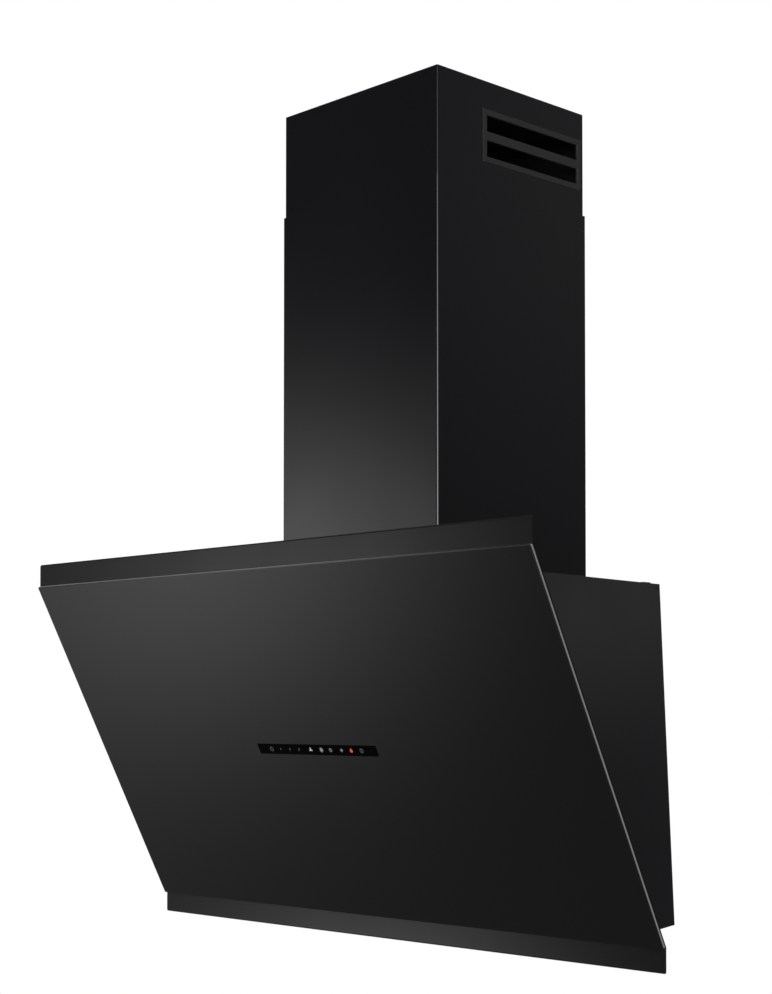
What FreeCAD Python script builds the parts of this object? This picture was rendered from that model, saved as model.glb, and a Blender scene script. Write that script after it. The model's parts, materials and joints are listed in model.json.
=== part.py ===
import FreeCAD, Part
import math
import os

# An inclined chimney range hood. Millimetres, X to the right, -Y to the cook, +Z up.
# The wall is the plane Y = 0; the origin is the centre of the four wall screws.

V = FreeCAD.Vector

# ---------------------------------------------------------------- driving dimensions

# glass door
GLASS_WIDTH = 798.0
GLASS_LENGTH = 430.2          # along the slope
GLASS_SHEET = 4.0
GLASS_TILT = 26.94            # from the vertical, bottom edge towards the wall
GLASS_TOP_Y = -407.6          # front top edge of the glass
GLASS_TOP_Z = 192.9
GLASS_BEVEL = 0.5

# steel tray that carries the glass
CARRIER_SHEET = 1.2
BAND_HEIGHT = 26.0            # the upright strip above and below the glass
BAND_RETURN = 14.0
RETURN_END_GAP = 16.0         # the returns stop short of the tray's ends

# touch control behind the glass
STRIP_WIDTH = 194.0
STRIP_HEIGHT = 13.0
STRIP_DEPTH = 1.0
STRIP_CENTRE_V = 216.5        # down the slope from the top edge
BOARD_WIDTH = 206.0
BOARD_HEIGHT = 25.0
BOARD_SHEET = 1.6
CONTROL_CASE_BORDER = 5.0
CONTROL_CASE_DEPTH = 13.0
CASE_WALL = 1.5
CASE_RIBS = 3
BOARD_CLEARANCE = 1.0         # around the board, in the carrier

# housing: a wedge that tapers towards the wall
BODY_SHEET = 1.2
BODY_TOP_Z = 185.4
BODY_BACK_BOTTOM_Z = -195.8
BODY_BACK_TOP_HALF = 233.8
BODY_BACK_BOTTOM_HALF = 252.8
SIDE_TAPER = 6.72             # in plan, wider towards the cook
BOTTOM_SLOPE = 3.6            # the underside rises towards the wall
DOOR_GAP = 28.8               # air gap between the carrier and the front plate

# wall screws
WALL_HOLE_RADIUS = 4.0
WALL_SPACING_X = 300.0
WALL_SPACING_Z = 220.0

# grease filters in the front plate
FILTER_OPENING_WIDTH = 236.0
FILTER_OPENING_LENGTH = 360.0
FILTER_OPENING_TOP_V = 60.0
FILTER_SPACING = 16.0
FILTER_CLEARANCE = 1.5
FILTER_THICKNESS = 9.0
FILTER_BORDER = 12.0
FILTER_PROUD = 1.0
MESH_LAYERS = 3
MESH_SHEET = 0.8
MESH_SPACING = 2.0
SEAT_LEDGE = 8.0
SEAT_WALL = 1.2
SEAT_GAP = 0.3

# spring latch at the head of each filter
LATCH_WIDTH = 50.0
LATCH_LENGTH = 24.0
LATCH_THICKNESS = 9.2
LATCH_TRAVEL = 7.0
LATCH_PROUD = 2.0
LATCH_CLEARANCE = 0.4
LATCH_RAIL = 2.0
LATCH_RAIL_THICKNESS = 2.0
FINGER_BORDER = 4.0           # beside the finger recess
FINGER_TOP = 8.0
FINGER_LOW = 2.0
FINGER_DEPTH = 4.6
TONGUE_WIDTH = 18.0
TONGUE_THICKNESS = 3.0
TONGUE_HOLD = 4.0             # how far the tongue reaches past the opening's edge
POCKET_WALL = 6.0
SPRING_RADIUS = 3.0
SPRING_SQUEEZED = 8.0         # the spring's length when the latch is pulled

# door hinges
PIVOT_V = 20.0
PIVOT_W = 24.0
HINGE_X = 200.0
PIN_RADIUS = 2.5
PIN_CLEARANCE = 0.05
EYE_RADIUS = 6.0
ARM_WIDTH = 10.0
EAR_SHEET = 2.0
EAR_GAP = 3.0
HINGE_PLATE = 1.5
HINGE_PLATE_LENGTH = 24.0
FIXED_PLATE_TOP_V = 28.0
ARM_PLATE_TOP_V = 12.0
ARM_PLATE_LENGTH = 32.0
PIN_HEAD_RADIUS = 4.0
PIN_HEAD_LENGTH = 1.5

# door catch magnets
MAGNET_X = 257.5
MAGNET_V = 400.0
MAGNET_RADIUS = 7.0
STRIKE_SIZE = 24.0
STRIKE_SHEET = 1.5
CATCH_GAP = 0.3

# lower and upper chimney
CHIMNEY_WIDTH = 254.0
CHIMNEY_DEPTH = 248.5
CHIMNEY_SHEET = 1.0
CHIMNEY_RETURN = 15.0
CHIMNEY_FOOT = 12.0
LOWER_CHIMNEY_TOP_Z = 623.1
TELESCOPE_INSET = 1.8
UPPER_CHIMNEY_TOP_Z = 743.1
UPPER_CHIMNEY_LENGTH = 420.0
FOOT_SCREW_RADIUS = 1.9
FOOT_SCREW_CLEARANCE = 0.1
FOOT_SCREW_HEAD_RADIUS = 4.0
FOOT_SCREW_HEAD = 2.5
FOOT_SCREW_LENGTH = 9.0
FOOT_SCREW_INSET_Y = 55.0

# air vents in the upper chimney
VENT_LENGTH = 155.0
VENT_SLOT = 18.2
VENT_BAR = 10.0
VENT_BORDER = 6.5
VENT_CENTRE_Y = -90.4
VENT_BELOW_TOP = 61.0         # from the cover's top edge to the vent's centre
VENT_PROUD = 0.5
VENT_FLANGE = 3.0
VENT_DEPTH = 3.0

# air deflector, exhaust duct and outlet collar
OUTLET_RADIUS = 75.0
OUTLET_WALL = 1.5
OUTLET_HEIGHT = 60.0
OUTLET_FLANGE_RADIUS = 95.0
OUTLET_FLANGE = 2.0
DUCT_CLEARANCE = 0.5
DUCT_WALL = 1.0
DUCT_LAP = 32.0
DEFLECTOR_WALL = 2.0
DEFLECTOR_MARGIN = 2.5        # around the vent's border
DEFLECTOR_FRONT_REACH = 28.5  # in front of the vents, so that the duct fits
DEFLECTOR_SPIGOT = 45.0
CLAMP_WIDTH = 10.0
CLAMP_SHEET = 2.0
CLAMP_GAP = 0.3
CLAMP_SCREW_BLOCK = 12.0

# back draught damper
DAMPER_Z = 202.0
DAMPER_PIN_RADIUS = 1.5
DAMPER_PIN_SHORT = 0.2
DAMPER_SHEET = 1.2
DAMPER_DROP = 0.5             # plate under the pin's centre
DAMPER_RIM_GAP = 1.2
DAMPER_PIN_GAP = 4.0
KNUCKLE_WALL = 1.45
KNUCKLE_LENGTH = 20.0
KNUCKLE_GAP = 0.5
KNUCKLE_PAIRS = 3
LEDGE_WIDTH = 3.5
LEDGE_THICKNESS = 2.0
LEDGE_GAP = 0.3

# blower
FAN_Z = 85.0
SCROLL_RADIUS = 87.0
SCROLL_GROWTH = 10.0          # per quarter turn
SCROLL_WIDTH = 150.0
THROAT_DEPTH = 150.0
SCROLL_WALL = 2.0
INLET_RADIUS = 70.0
INLET_RING_RADIUS = 82.5
INLET_RING_WALL = 2.5
INLET_RING_LENGTH = 10.0
IMPELLER_RADIUS = 80.0
IMPELLER_WIDTH = 132.0
BLADE_COUNT = 30
BLADE_DEPTH = 13.0
BLADE_SHEET = 1.2
BLADE_ANGLE = 35.0
RIM_SHEET = 2.0
PLATE_SHEET = 2.4
PLATE_BORDER = 1.0            # from the centre plate's edge to the rims'
HUB_RADIUS = 12.0
HUB_LENGTH = 14.0
SHAFT_RADIUS = 4.0
SHAFT_CLEARANCE = 0.05
SHAFT_END = 8.0
MOTOR_RADIUS = 42.0
MOTOR_BOSS_RADIUS = 25.0
MOTOR_BOSS = 7.5              # length of the boss at each end
MOTOR_GAP = 2.0               # from the hub to the motor
MOUNT_SHEET = 3.0
MOUNT_HUB_RADIUS = 30.0
MOUNT_ARM_WIDTH = 12.0
MOUNT_ARM_REACH = 78.0
MOUNT_ARMS = 3

# charcoal filters
CHARCOAL_RADIUS = 98.0
CHARCOAL_THICKNESS = 30.0
CHARCOAL_GAP = 0.5
CHARCOAL_RECESS = 9.5
CHARCOAL_GRIP_RADIUS = 22.0
CHARCOAL_GRIP_BAR = 8.0
CHARCOAL_GRIP_DEPTH = 12.0
LUG_COUNT = 3
LUG_HALF_ANGLE = 12.0
LUG_HEIGHT = 1.8
LUG_SHEET = 2.0
LUG_GAP = 0.5

# electric parts
CONTROL_BOX_X = 130.0
CONTROL_BOX_WIDTH = 100.0
CONTROL_BOX_FRONT_Y = -170.0
CONTROL_BOX_DEPTH = 110.0
CONTROL_BOX_HEIGHT = 44.0
CONTROL_BOX_WALL = 2.0
POWER_BOARD_INSET = 8.0
POWER_BOARD_DROP = 22.0
STANDOFF_RADIUS = 3.0
TERMINAL_WIDTH = 40.0
TERMINAL_DEPTH = 14.0
TERMINAL_HEIGHT = 12.0
CAPACITOR_X = -170.0
CAPACITOR_Y = -80.0
CAPACITOR_RADIUS = 18.0
CAPACITOR_LENGTH = 60.0
GLAND_X = 100.0
GLAND_Y = -222.0              # in front of the deflector, so that a cable drops straight in
GLAND_BORE_RADIUS = 3.6
GLAND_SHANK_RADIUS = 8.0
GLAND_FLANGE_RADIUS = 11.0
GLAND_FLANGE = 3.0
GLAND_RISE = 14.6
GLAND_DROP = 11.4
GLAND_FIT = 0.1

# lamps in the underside
LAMP_X = 150.0
LAMP_FROM_WALL = 95.0
LAMP_RADIUS = 27.0
LAMP_RIM_RADIUS = 32.0
LAMP_RIM = 2.0
LAMP_HEIGHT = 28.0
LAMP_HOLE_CLEARANCE = 0.5
LENS_RADIUS = 23.0
LENS_THICKNESS = 2.5
LENS_RECESS = 0.5

# wall bracket of the upper chimney
BRACKET_HALF = 104.0
BRACKET_SHEET = 1.2
BRACKET_HEIGHT = 40.0
BRACKET_BELOW_TOP = 3.0
BRACKET_WEB_DEPTH = 30.0
BRACKET_TAB_HEIGHT = 22.0
BRACKET_RETURN_GAP = 1.2
BRACKET_HOLE_RADIUS = 3.0
BRACKET_HOLE_SPACING = 120.0
BRACKET_HOLE_BELOW = 12.0

# ---------------------------------------------------------------- shared geometry

slope_sin = math.sin(math.radians(GLASS_TILT))
slope_cos = math.cos(math.radians(GLASS_TILT))
SLOPE = FreeCAD.Placement(
    V(0, GLASS_TOP_Y, GLASS_TOP_Z), FreeCAD.Rotation(V(1, 0, 0), GLASS_TILT - 90))
UNDERSIDE = FreeCAD.Placement(
    V(0, 0, BODY_BACK_BOTTOM_Z), FreeCAD.Rotation(V(1, 0, 0), BOTTOM_SLOPE))

carrier_back_w = GLASS_SHEET + CARRIER_SHEET
front_w = carrier_back_w + DOOR_GAP
chimney_centre_y = -CHIMNEY_DEPTH / 2
duct_radius = OUTLET_RADIUS + DUCT_CLEARANCE
vent_centre_z = UPPER_CHIMNEY_TOP_Z - VENT_BELOW_TOP


def box(x, y, z):
    """A block between three pairs of limits."""
    return Part.makeBox(
        max(x) - min(x), max(y) - min(y), max(z) - min(z), V(min(x), min(y), min(z)))


def rod(radius, start, end):
    """A cylinder from one point to another."""
    way = end - start
    return Part.makeCylinder(radius, way.Length, start, way)


def ring(outer, inner, start, end):
    return rod(outer, start, end).cut(rod(inner, start, end))


def joined(shapes):
    return shapes[0].multiFuse(shapes[1:]).removeSplitter()


def on_slope(shape):
    """Takes a shape from (x, v down the slope, w behind the glass) to its place."""
    shape.Placement = SLOPE.multiply(shape.Placement)
    return shape


def on_underside(shape):
    """Takes a shape from (x, y, height over the sloping underside) to its place."""
    shape.Placement = UNDERSIDE.multiply(shape.Placement)
    return shape


def mirrored(shape):
    return shape.mirror(V(0, 0, 0), V(1, 0, 0))


def prism(points, way):
    """A straight prism over a flat outline."""
    return Part.Face(Part.makePolygon(points + points[:1])).extrude(way)


# ---------------------------------------------------------------- housing

def side_normal(sign):
    """Outward normal of a tapered side, from its two half widths and its taper."""
    height = BODY_TOP_Z - BODY_BACK_BOTTOM_Z
    flare = (BODY_BACK_BOTTOM_HALF - BODY_BACK_TOP_HALF) / height
    spread = math.tan(math.radians(SIDE_TAPER))
    return V(sign, spread, flare).normalize()


def housing_planes(inset):
    """Outward normal and distance of each face, moved inwards by its inset."""
    tilt = math.radians(BOTTOM_SLOPE)
    low_normal = V(0, math.sin(tilt), -math.cos(tilt))
    front_normal = V(0, -slope_cos, -slope_sin)
    top_corner = V(BODY_BACK_TOP_HALF, 0, BODY_TOP_Z)
    front_point = SLOPE.multVec(V(0, 0, front_w))
    faces = {
        "back": (V(0, 1, 0), 0.0),
        "top": (V(0, 0, 1), BODY_TOP_Z),
        "bottom": (low_normal, low_normal.dot(V(0, 0, BODY_BACK_BOTTOM_Z))),
        "right": (side_normal(1), side_normal(1).dot(top_corner)),
        "left": (side_normal(-1), side_normal(1).dot(top_corner)),
        "front": (front_normal, front_normal.dot(front_point)),
    }
    return {k: (n, d - inset.get(k, 0.0)) for k, (n, d) in faces.items()}


def meeting(first, second, third):
    """The point where three planes meet."""
    (a, p), (b, q), (c, r) = first, second, third
    return (b.cross(c) * p + c.cross(a) * q + a.cross(b) * r) * (1 / a.dot(b.cross(c)))


def housing_block(inset):
    """The housing's wedge as a solid, each face moved inwards by its inset."""
    planes = housing_planes(inset)
    corner = {
        (side, level, depth): meeting(planes[side], planes[level], planes[depth])
        for side in ("left", "right")
        for level in ("bottom", "top")
        for depth in ("back", "front")
    }
    quads = []
    for side in ("left", "right"):
        quads.append([(side, "bottom", "back"), (side, "top", "back"),
                      (side, "top", "front"), (side, "bottom", "front")])
    for level in ("bottom", "top"):
        quads.append([("left", level, "back"), ("right", level, "back"),
                      ("right", level, "front"), ("left", level, "front")])
    for depth in ("back", "front"):
        quads.append([("left", "bottom", depth), ("right", "bottom", depth),
                      ("right", "top", depth), ("left", "top", depth)])
    faces = [Part.Face(Part.makePolygon([corner[k] for k in quad + quad[:1]])) for quad in quads]
    solid = Part.Solid(Part.Shell(faces))
    if solid.Volume < 0:
        solid.reverse()
    return solid


def peel(layers, *names):
    """The sheet on some faces of the housing, inside the sheets that are in layers."""
    outer = housing_block(layers)
    layers.update({name: BODY_SHEET for name in names})
    return outer.cut(housing_block(layers))


def wall_holes():
    places = [(x, z) for x in (-1, 1) for z in (-1, 1)]
    return [
        rod(WALL_HOLE_RADIUS, V(x * WALL_SPACING_X / 2, -2 * BODY_SHEET, z * WALL_SPACING_Z / 2),
            V(x * WALL_SPACING_X / 2, BODY_SHEET, z * WALL_SPACING_Z / 2))
        for x, z in places
    ]


def foot_screw_places():
    """Where the screws go down through the foot of the lower chimney."""
    x = CHIMNEY_WIDTH / 2 - CHIMNEY_SHEET - CHIMNEY_FOOT / 2
    return [V(sx * x, y, 0) for sx in (-1, 1)
            for y in (-FOOT_SCREW_INSET_Y, FOOT_SCREW_INSET_Y - CHIMNEY_DEPTH)]


def foot_screw_holes():
    radius = FOOT_SCREW_RADIUS + FOOT_SCREW_CLEARANCE
    low = BODY_TOP_Z - 2 * BODY_SHEET
    return [rod(radius, V(p.x, p.y, low), V(p.x, p.y, BODY_TOP_Z + 2 * CHIMNEY_SHEET))
            for p in foot_screw_places()]


def filter_centres():
    return {side: sign * (FILTER_SPACING + FILTER_OPENING_WIDTH) / 2
            for side, sign in (("left", -1), ("right", 1))}


def filter_opening(x, grow, start_w, end_w):
    """A block with a filter opening's outline, grown by so much on each side."""
    half = FILTER_OPENING_WIDTH / 2 + grow
    top = FILTER_OPENING_TOP_V - grow
    low = FILTER_OPENING_TOP_V + FILTER_OPENING_LENGTH + grow
    return on_slope(box((x - half, x + half), (top, low), (start_w, end_w)))


def tongue_slot(x, grow, start_v, end_v):
    """The way of a latch tongue, along the slope."""
    centre_w = tongue_centre_w()
    half = TONGUE_WIDTH / 2 + grow
    thick = TONGUE_THICKNESS / 2 + grow
    return on_slope(box((x - half, x + half), (start_v, end_v),
                        (centre_w - thick, centre_w + thick)))


def tongue_centre_w():
    return front_w + BODY_SHEET + TONGUE_THICKNESS / 2 + LATCH_CLEARANCE


def front_plate(plate):
    """The sloping front plate with a seat for each grease filter."""
    seat_w = front_w - FILTER_PROUD + FILTER_THICKNESS + SEAT_GAP
    for x in filter_centres().values():
        plate = plate.cut(filter_opening(x, 0, front_w - 1, seat_w))
        seat = filter_opening(x, SEAT_WALL, front_w + BODY_SHEET, seat_w + SEAT_WALL)
        seat = seat.cut(filter_opening(x, 0, front_w, seat_w))
        seat = seat.cut(filter_opening(x, -SEAT_LEDGE, front_w, seat_w + 2 * SEAT_WALL))
        edge_v = FILTER_OPENING_TOP_V
        seat = seat.cut(tongue_slot(x, LATCH_CLEARANCE, edge_v - 2 * SEAT_WALL, edge_v + 1))
        plate = plate.fuse(seat)
    return plate.removeSplitter()


def housing_panels():
    layers = {}
    panels = {"right_side_panel": peel(layers, "right")}
    panels["left_side_panel"] = mirrored(panels["right_side_panel"])
    layers["left"] = BODY_SHEET
    top = peel(layers, "top")
    bottom = peel(layers, "bottom")
    back = peel(layers, "back")
    front = peel(layers, "front")

    outlet = rod(OUTLET_RADIUS - OUTLET_WALL, V(0, chimney_centre_y, BODY_TOP_Z - 2 * BODY_SHEET),
                 V(0, chimney_centre_y, BODY_TOP_Z + BODY_SHEET))
    gland_hole = rod(GLAND_SHANK_RADIUS + GLAND_FIT, V(GLAND_X, GLAND_Y, BODY_TOP_Z - 2 * BODY_SHEET),
                     V(GLAND_X, GLAND_Y, BODY_TOP_Z + BODY_SHEET))
    panels["top_panel"] = top.cut([outlet, gland_hole] + foot_screw_holes())
    panels["bottom_panel"] = bottom.cut([
        lamp_part(x, rod(LAMP_RADIUS + LAMP_HOLE_CLEARANCE, V(0, 0, -1), V(0, 0, 2 * BODY_SHEET)))
        for x in (-LAMP_X, LAMP_X)])
    panels["back_panel"] = back.cut(wall_holes())
    panels["front_fascia"] = front_plate(front)
    return panels


# ---------------------------------------------------------------- lamps

def lamp_part(x, shape):
    """Sets a lamp piece, made about its own axis, in the underside."""
    shape.translate(V(x, -LAMP_FROM_WALL, 0))
    return on_underside(shape)


def lamp(x):
    rim = rod(LAMP_RIM_RADIUS, V(0, 0, -LAMP_RIM), V(0, 0, 0))
    cup = rod(LAMP_RADIUS, V(0, 0, 0), V(0, 0, LAMP_HEIGHT))
    lens_top = LENS_THICKNESS + LENS_RECESS - LAMP_RIM
    seat = rod(LENS_RADIUS, V(0, 0, -LAMP_RIM), V(0, 0, lens_top))
    return lamp_part(x, rim.fuse(cup).cut(seat))


def lamp_lens(x):
    low = LENS_RECESS - LAMP_RIM
    return lamp_part(x, rod(LENS_RADIUS, V(0, 0, low), V(0, 0, low + LENS_THICKNESS)))


# ---------------------------------------------------------------- glass door

def glass_panel():
    glass = box((-GLASS_WIDTH / 2, GLASS_WIDTH / 2), (0, GLASS_LENGTH), (0, GLASS_SHEET))
    glass = glass.makeChamfer(GLASS_BEVEL, glass.Edges)
    return on_slope(glass.cut(strip_block()))


def strip_block():
    return box((-STRIP_WIDTH / 2, STRIP_WIDTH / 2),
               (STRIP_CENTRE_V - STRIP_HEIGHT / 2, STRIP_CENTRE_V + STRIP_HEIGHT / 2),
               (0, STRIP_DEPTH))


def control_window():
    return on_slope(strip_block())


def board_limits(grow):
    """The touch board's outline across and down the slope, grown by so much."""
    return ((-BOARD_WIDTH / 2 - grow, BOARD_WIDTH / 2 + grow),
            (STRIP_CENTRE_V - BOARD_HEIGHT / 2 - grow, STRIP_CENTRE_V + BOARD_HEIGHT / 2 + grow))


def door_carrier():
    """One bent sheet: return, upper band, plate behind the glass, lower band, return."""
    top = SLOPE.multVec(V(0, 0, GLASS_SHEET))
    low = SLOPE.multVec(V(0, GLASS_LENGTH, GLASS_SHEET))
    # the sheet's thickness along Y in the upright bands and along the slope's normal between
    shift = CARRIER_SHEET / math.cos(math.radians(GLASS_TILT) / 2)
    turn = math.radians(GLASS_TILT) / 2
    behind = V(0, shift * math.cos(turn), shift * math.sin(turn))
    up = V(0, 0, BAND_HEIGHT)
    sheet_y = V(0, CARRIER_SHEET, 0)
    outer = [top + up, top, low, low - up]
    inner = [low - up + sheet_y, low + behind, top + behind, top + up + sheet_y]
    start = V(-GLASS_WIDTH / 2, 0, 0)
    sheet = prism([p + start for p in outer + inner], V(GLASS_WIDTH, 0, 0))
    reach = GLASS_WIDTH / 2 - RETURN_END_GAP
    returns = [box((-reach, reach), (edge.y, edge.y + BAND_RETURN), (edge.z, edge.z + fold))
               for edge, fold in ((top + up, -CARRIER_SHEET), (low - up, CARRIER_SHEET))]
    sheet = joined([sheet] + returns)
    return sheet.cut(on_slope(box(*board_limits(BOARD_CLEARANCE), (0, front_w))))


def touch_board():
    return on_slope(box(*board_limits(0), (GLASS_SHEET, GLASS_SHEET + BOARD_SHEET)))


def touch_board_case():
    """A tray behind the carrier, with ribs that hold the board against the glass."""
    end_w = carrier_back_w + CONTROL_CASE_DEPTH
    case = box(*board_limits(CONTROL_CASE_BORDER), (carrier_back_w, end_w))
    case = case.cut(box(*board_limits(CONTROL_CASE_BORDER - CASE_WALL), (0, end_w - CASE_WALL)))
    down = board_limits(0)[1]
    step = BOARD_WIDTH / CASE_RIBS
    middles = [(i - (CASE_RIBS - 1) / 2) * step for i in range(CASE_RIBS)]
    ribs = [box((x - CASE_WALL, x + CASE_WALL), down, (GLASS_SHEET + BOARD_SHEET, end_w))
            for x in middles]
    return on_slope(joined([case] + ribs))


def strike_plates():
    half = STRIKE_SIZE / 2
    plates = [on_slope(box((x - half, x + half), (MAGNET_V - half, MAGNET_V + half),
                           (carrier_back_w, carrier_back_w + STRIKE_SHEET)))
              for x in (-MAGNET_X, MAGNET_X)]
    return Part.Compound(plates)


def door_magnets():
    end_w = carrier_back_w + STRIKE_SHEET + CATCH_GAP
    return Part.Compound([
        on_slope(rod(MAGNET_RADIUS, V(x, MAGNET_V, end_w), V(x, MAGNET_V, front_w)))
        for x in (-MAGNET_X, MAGNET_X)])


# ---------------------------------------------------------------- hinges

def hinge_web(x, width, base_w, base_v):
    """A web from a plate up to the eye round the pivot, at x - width/2 to x + width/2."""
    start = V(x - width / 2, 0, 0)
    pivot = V(0, PIVOT_V, PIVOT_W)
    middle = V(0, sum(base_v) / 2, base_w)
    lean = (pivot - middle).normalize()
    out = V(0, -lean.z, lean.y) * EYE_RADIUS
    if out.y < 0:
        out = out * -1
    outline = [V(0, min(base_v), base_w), pivot - out, pivot + out, V(0, max(base_v), base_w)]
    web = prism([p + start for p in outline], V(width, 0, 0))
    return web.fuse(rod(EYE_RADIUS, pivot + start, pivot + start + V(width, 0, 0)))


def hinge_plate(x, half, top_v, length, start_w):
    return box((x - half, x + half), (top_v, top_v + length), (start_w, start_w + HINGE_PLATE))


def pivot_bore(x, half, radius):
    pivot = V(x, PIVOT_V, PIVOT_W)
    return rod(radius, pivot - V(half, 0, 0), pivot + V(half, 0, 0))


def hinge_half_width():
    return ARM_WIDTH / 2 + EAR_GAP + EAR_SHEET


def hinge_bracket(x):
    half = hinge_half_width()
    start_w = front_w - HINGE_PLATE
    base_v = (FIXED_PLATE_TOP_V, FIXED_PLATE_TOP_V + HINGE_PLATE_LENGTH)
    ears = [hinge_web(x + sign * (half - EAR_SHEET / 2), EAR_SHEET, start_w, base_v)
            for sign in (-1, 1)]
    plate = hinge_plate(x, half, FIXED_PLATE_TOP_V, HINGE_PLATE_LENGTH, start_w)
    return on_slope(joined([plate] + ears).cut(pivot_bore(x, half + 1, PIN_RADIUS)))


def hinge_arm(x):
    base_w = carrier_back_w + HINGE_PLATE
    base_v = (ARM_PLATE_TOP_V, ARM_PLATE_TOP_V + ARM_PLATE_LENGTH)
    web = hinge_web(x, ARM_WIDTH, base_w, base_v)
    plate = hinge_plate(x, hinge_half_width(), ARM_PLATE_TOP_V, ARM_PLATE_LENGTH, carrier_back_w)
    bore = pivot_bore(x, ARM_WIDTH, PIN_RADIUS + PIN_CLEARANCE)
    return on_slope(joined([plate, web]).cut(bore))


def hinge_pin(x):
    half = hinge_half_width()
    pivot = V(x, PIVOT_V, PIVOT_W)
    end = V(half, 0, 0)
    head = V(PIN_HEAD_LENGTH, 0, 0)
    heads = [rod(PIN_HEAD_RADIUS, pivot + end * s, pivot + (end + head) * s) for s in (-1, 1)]
    return on_slope(joined([rod(PIN_RADIUS, pivot - end, pivot + end)] + heads))


# ---------------------------------------------------------------- grease filters

def frame_limits(x, grow):
    """The filter frame's outline across and down the slope, grown by so much."""
    half = FILTER_OPENING_WIDTH / 2 - FILTER_CLEARANCE + grow
    top = FILTER_OPENING_TOP_V + FILTER_CLEARANCE - grow
    low = FILTER_OPENING_TOP_V + FILTER_OPENING_LENGTH - FILTER_CLEARANCE + grow
    return (x - half, x + half), (top, low)


def frame_depth():
    start = front_w - FILTER_PROUD
    return start, start + FILTER_THICKNESS


def pocket_limits(x, grow):
    """The latch pocket's outline, long enough for the latch, its travel and its spring."""
    half = LATCH_WIDTH / 2 + LATCH_CLEARANCE + grow
    top = latch_top_v() - LATCH_CLEARANCE - grow
    low = latch_top_v() + LATCH_LENGTH + LATCH_TRAVEL + SPRING_SQUEEZED + grow
    return (x - half, x + half), (top, low)


def latch_top_v():
    return FILTER_OPENING_TOP_V + FILTER_CLEARANCE + FILTER_BORDER + LATCH_CLEARANCE


def latch_depth():
    start = front_w - FILTER_PROUD - LATCH_PROUD
    return start, start + LATCH_THICKNESS


def rail_depth(grow):
    centre = (frame_depth()[0] + latch_depth()[1]) / 2
    return centre - LATCH_RAIL_THICKNESS / 2 - grow, centre + LATCH_RAIL_THICKNESS / 2 + grow


def grease_filter_frame(x):
    start, end = frame_depth()
    outer = box(*frame_limits(x, 0), (start, end))
    frame = outer.cut(box(*frame_limits(x, -FILTER_BORDER), (start, end)))
    frame = frame.fuse(box(*pocket_limits(x, POCKET_WALL), (start, end)))
    floor = latch_depth()[1] + LATCH_CLEARANCE
    frame = frame.cut(box(*pocket_limits(x, 0), (start, floor)))
    across, down = pocket_limits(x, 0)
    groove = (across[0] - LATCH_RAIL, across[1] + LATCH_RAIL)
    frame = frame.cut(box(groove, down, rail_depth(LATCH_CLEARANCE)))
    frame = on_slope(frame)
    return frame.cut(tongue_slot(x, LATCH_CLEARANCE, FILTER_OPENING_TOP_V, latch_top_v() + 1))


def grease_filter_mesh(x):
    """Layers of expanded metal, one behind the other, held in the frame."""
    start, end = frame_depth()
    middle = (start + end) / 2
    layers = []
    for i in range(MESH_LAYERS):
        centre = middle + (i - (MESH_LAYERS - 1) / 2) * MESH_SPACING
        sheet = box(*frame_limits(x, -FILTER_BORDER),
                    (centre - MESH_SHEET / 2, centre + MESH_SHEET / 2))
        layers.append(on_slope(sheet.cut(box(*pocket_limits(x, POCKET_WALL), (start, end)))))
    return Part.Compound(layers)


def filter_latch(x):
    top = latch_top_v()
    body = box((x - LATCH_WIDTH / 2, x + LATCH_WIDTH / 2), (top, top + LATCH_LENGTH), latch_depth())
    rail_half = LATCH_WIDTH / 2 + LATCH_RAIL
    rails = box((x - rail_half, x + rail_half), (top, top + LATCH_LENGTH), rail_depth(0))
    tongue = box((x - TONGUE_WIDTH / 2, x + TONGUE_WIDTH / 2),
                 (FILTER_OPENING_TOP_V - TONGUE_HOLD, top + 1),
                 (tongue_centre_w() - TONGUE_THICKNESS / 2, tongue_centre_w() + TONGUE_THICKNESS / 2))
    finger_half = LATCH_WIDTH / 2 - FINGER_BORDER
    finger = box((x - finger_half, x + finger_half),
                 (top + FINGER_TOP, top + LATCH_LENGTH - FINGER_LOW),
                 (latch_depth()[0], latch_depth()[0] + FINGER_DEPTH))
    return on_slope(joined([body, rails, tongue]).cut(finger))


def latch_spring(x):
    centre_w = (frame_depth()[0] + latch_depth()[1]) / 2
    start = latch_top_v() + LATCH_LENGTH + SEAT_GAP
    end = latch_top_v() + LATCH_LENGTH + LATCH_TRAVEL + SPRING_SQUEEZED - SEAT_GAP
    return on_slope(rod(SPRING_RADIUS, V(x, start, centre_w), V(x, end, centre_w)))


# ---------------------------------------------------------------- chimney

def chimney_sheet(inset, low_z, top_z):
    """A U-shaped cover with its two rear edges folded in along the wall."""
    half = CHIMNEY_WIDTH / 2 - inset
    front = inset - CHIMNEY_DEPTH
    back = -inset
    outer = box((-half, half), (front, back), (low_z, top_z))
    inner_half = half - CHIMNEY_SHEET
    inner = box((-inner_half, inner_half), (front + CHIMNEY_SHEET, back - CHIMNEY_SHEET), (low_z, top_z))
    slot_half = half - CHIMNEY_RETURN
    slot = box((-slot_half, slot_half), (back - 2 * CHIMNEY_SHEET, back + 1), (low_z, top_z))
    return outer.cut(inner).cut(slot)


def lower_chimney():
    cover = chimney_sheet(0, BODY_TOP_Z, LOWER_CHIMNEY_TOP_Z)
    half = CHIMNEY_WIDTH / 2 - CHIMNEY_SHEET
    front = CHIMNEY_SHEET - CHIMNEY_DEPTH
    level = (BODY_TOP_Z, BODY_TOP_Z + CHIMNEY_SHEET)
    foot = box((-half, half), (front, -CHIMNEY_SHEET), level)
    open_half = half - CHIMNEY_FOOT
    foot = foot.cut(box((-open_half, open_half), (front + CHIMNEY_FOOT, 0), level))
    return cover.fuse(foot).removeSplitter().cut(foot_screw_holes())


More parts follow.
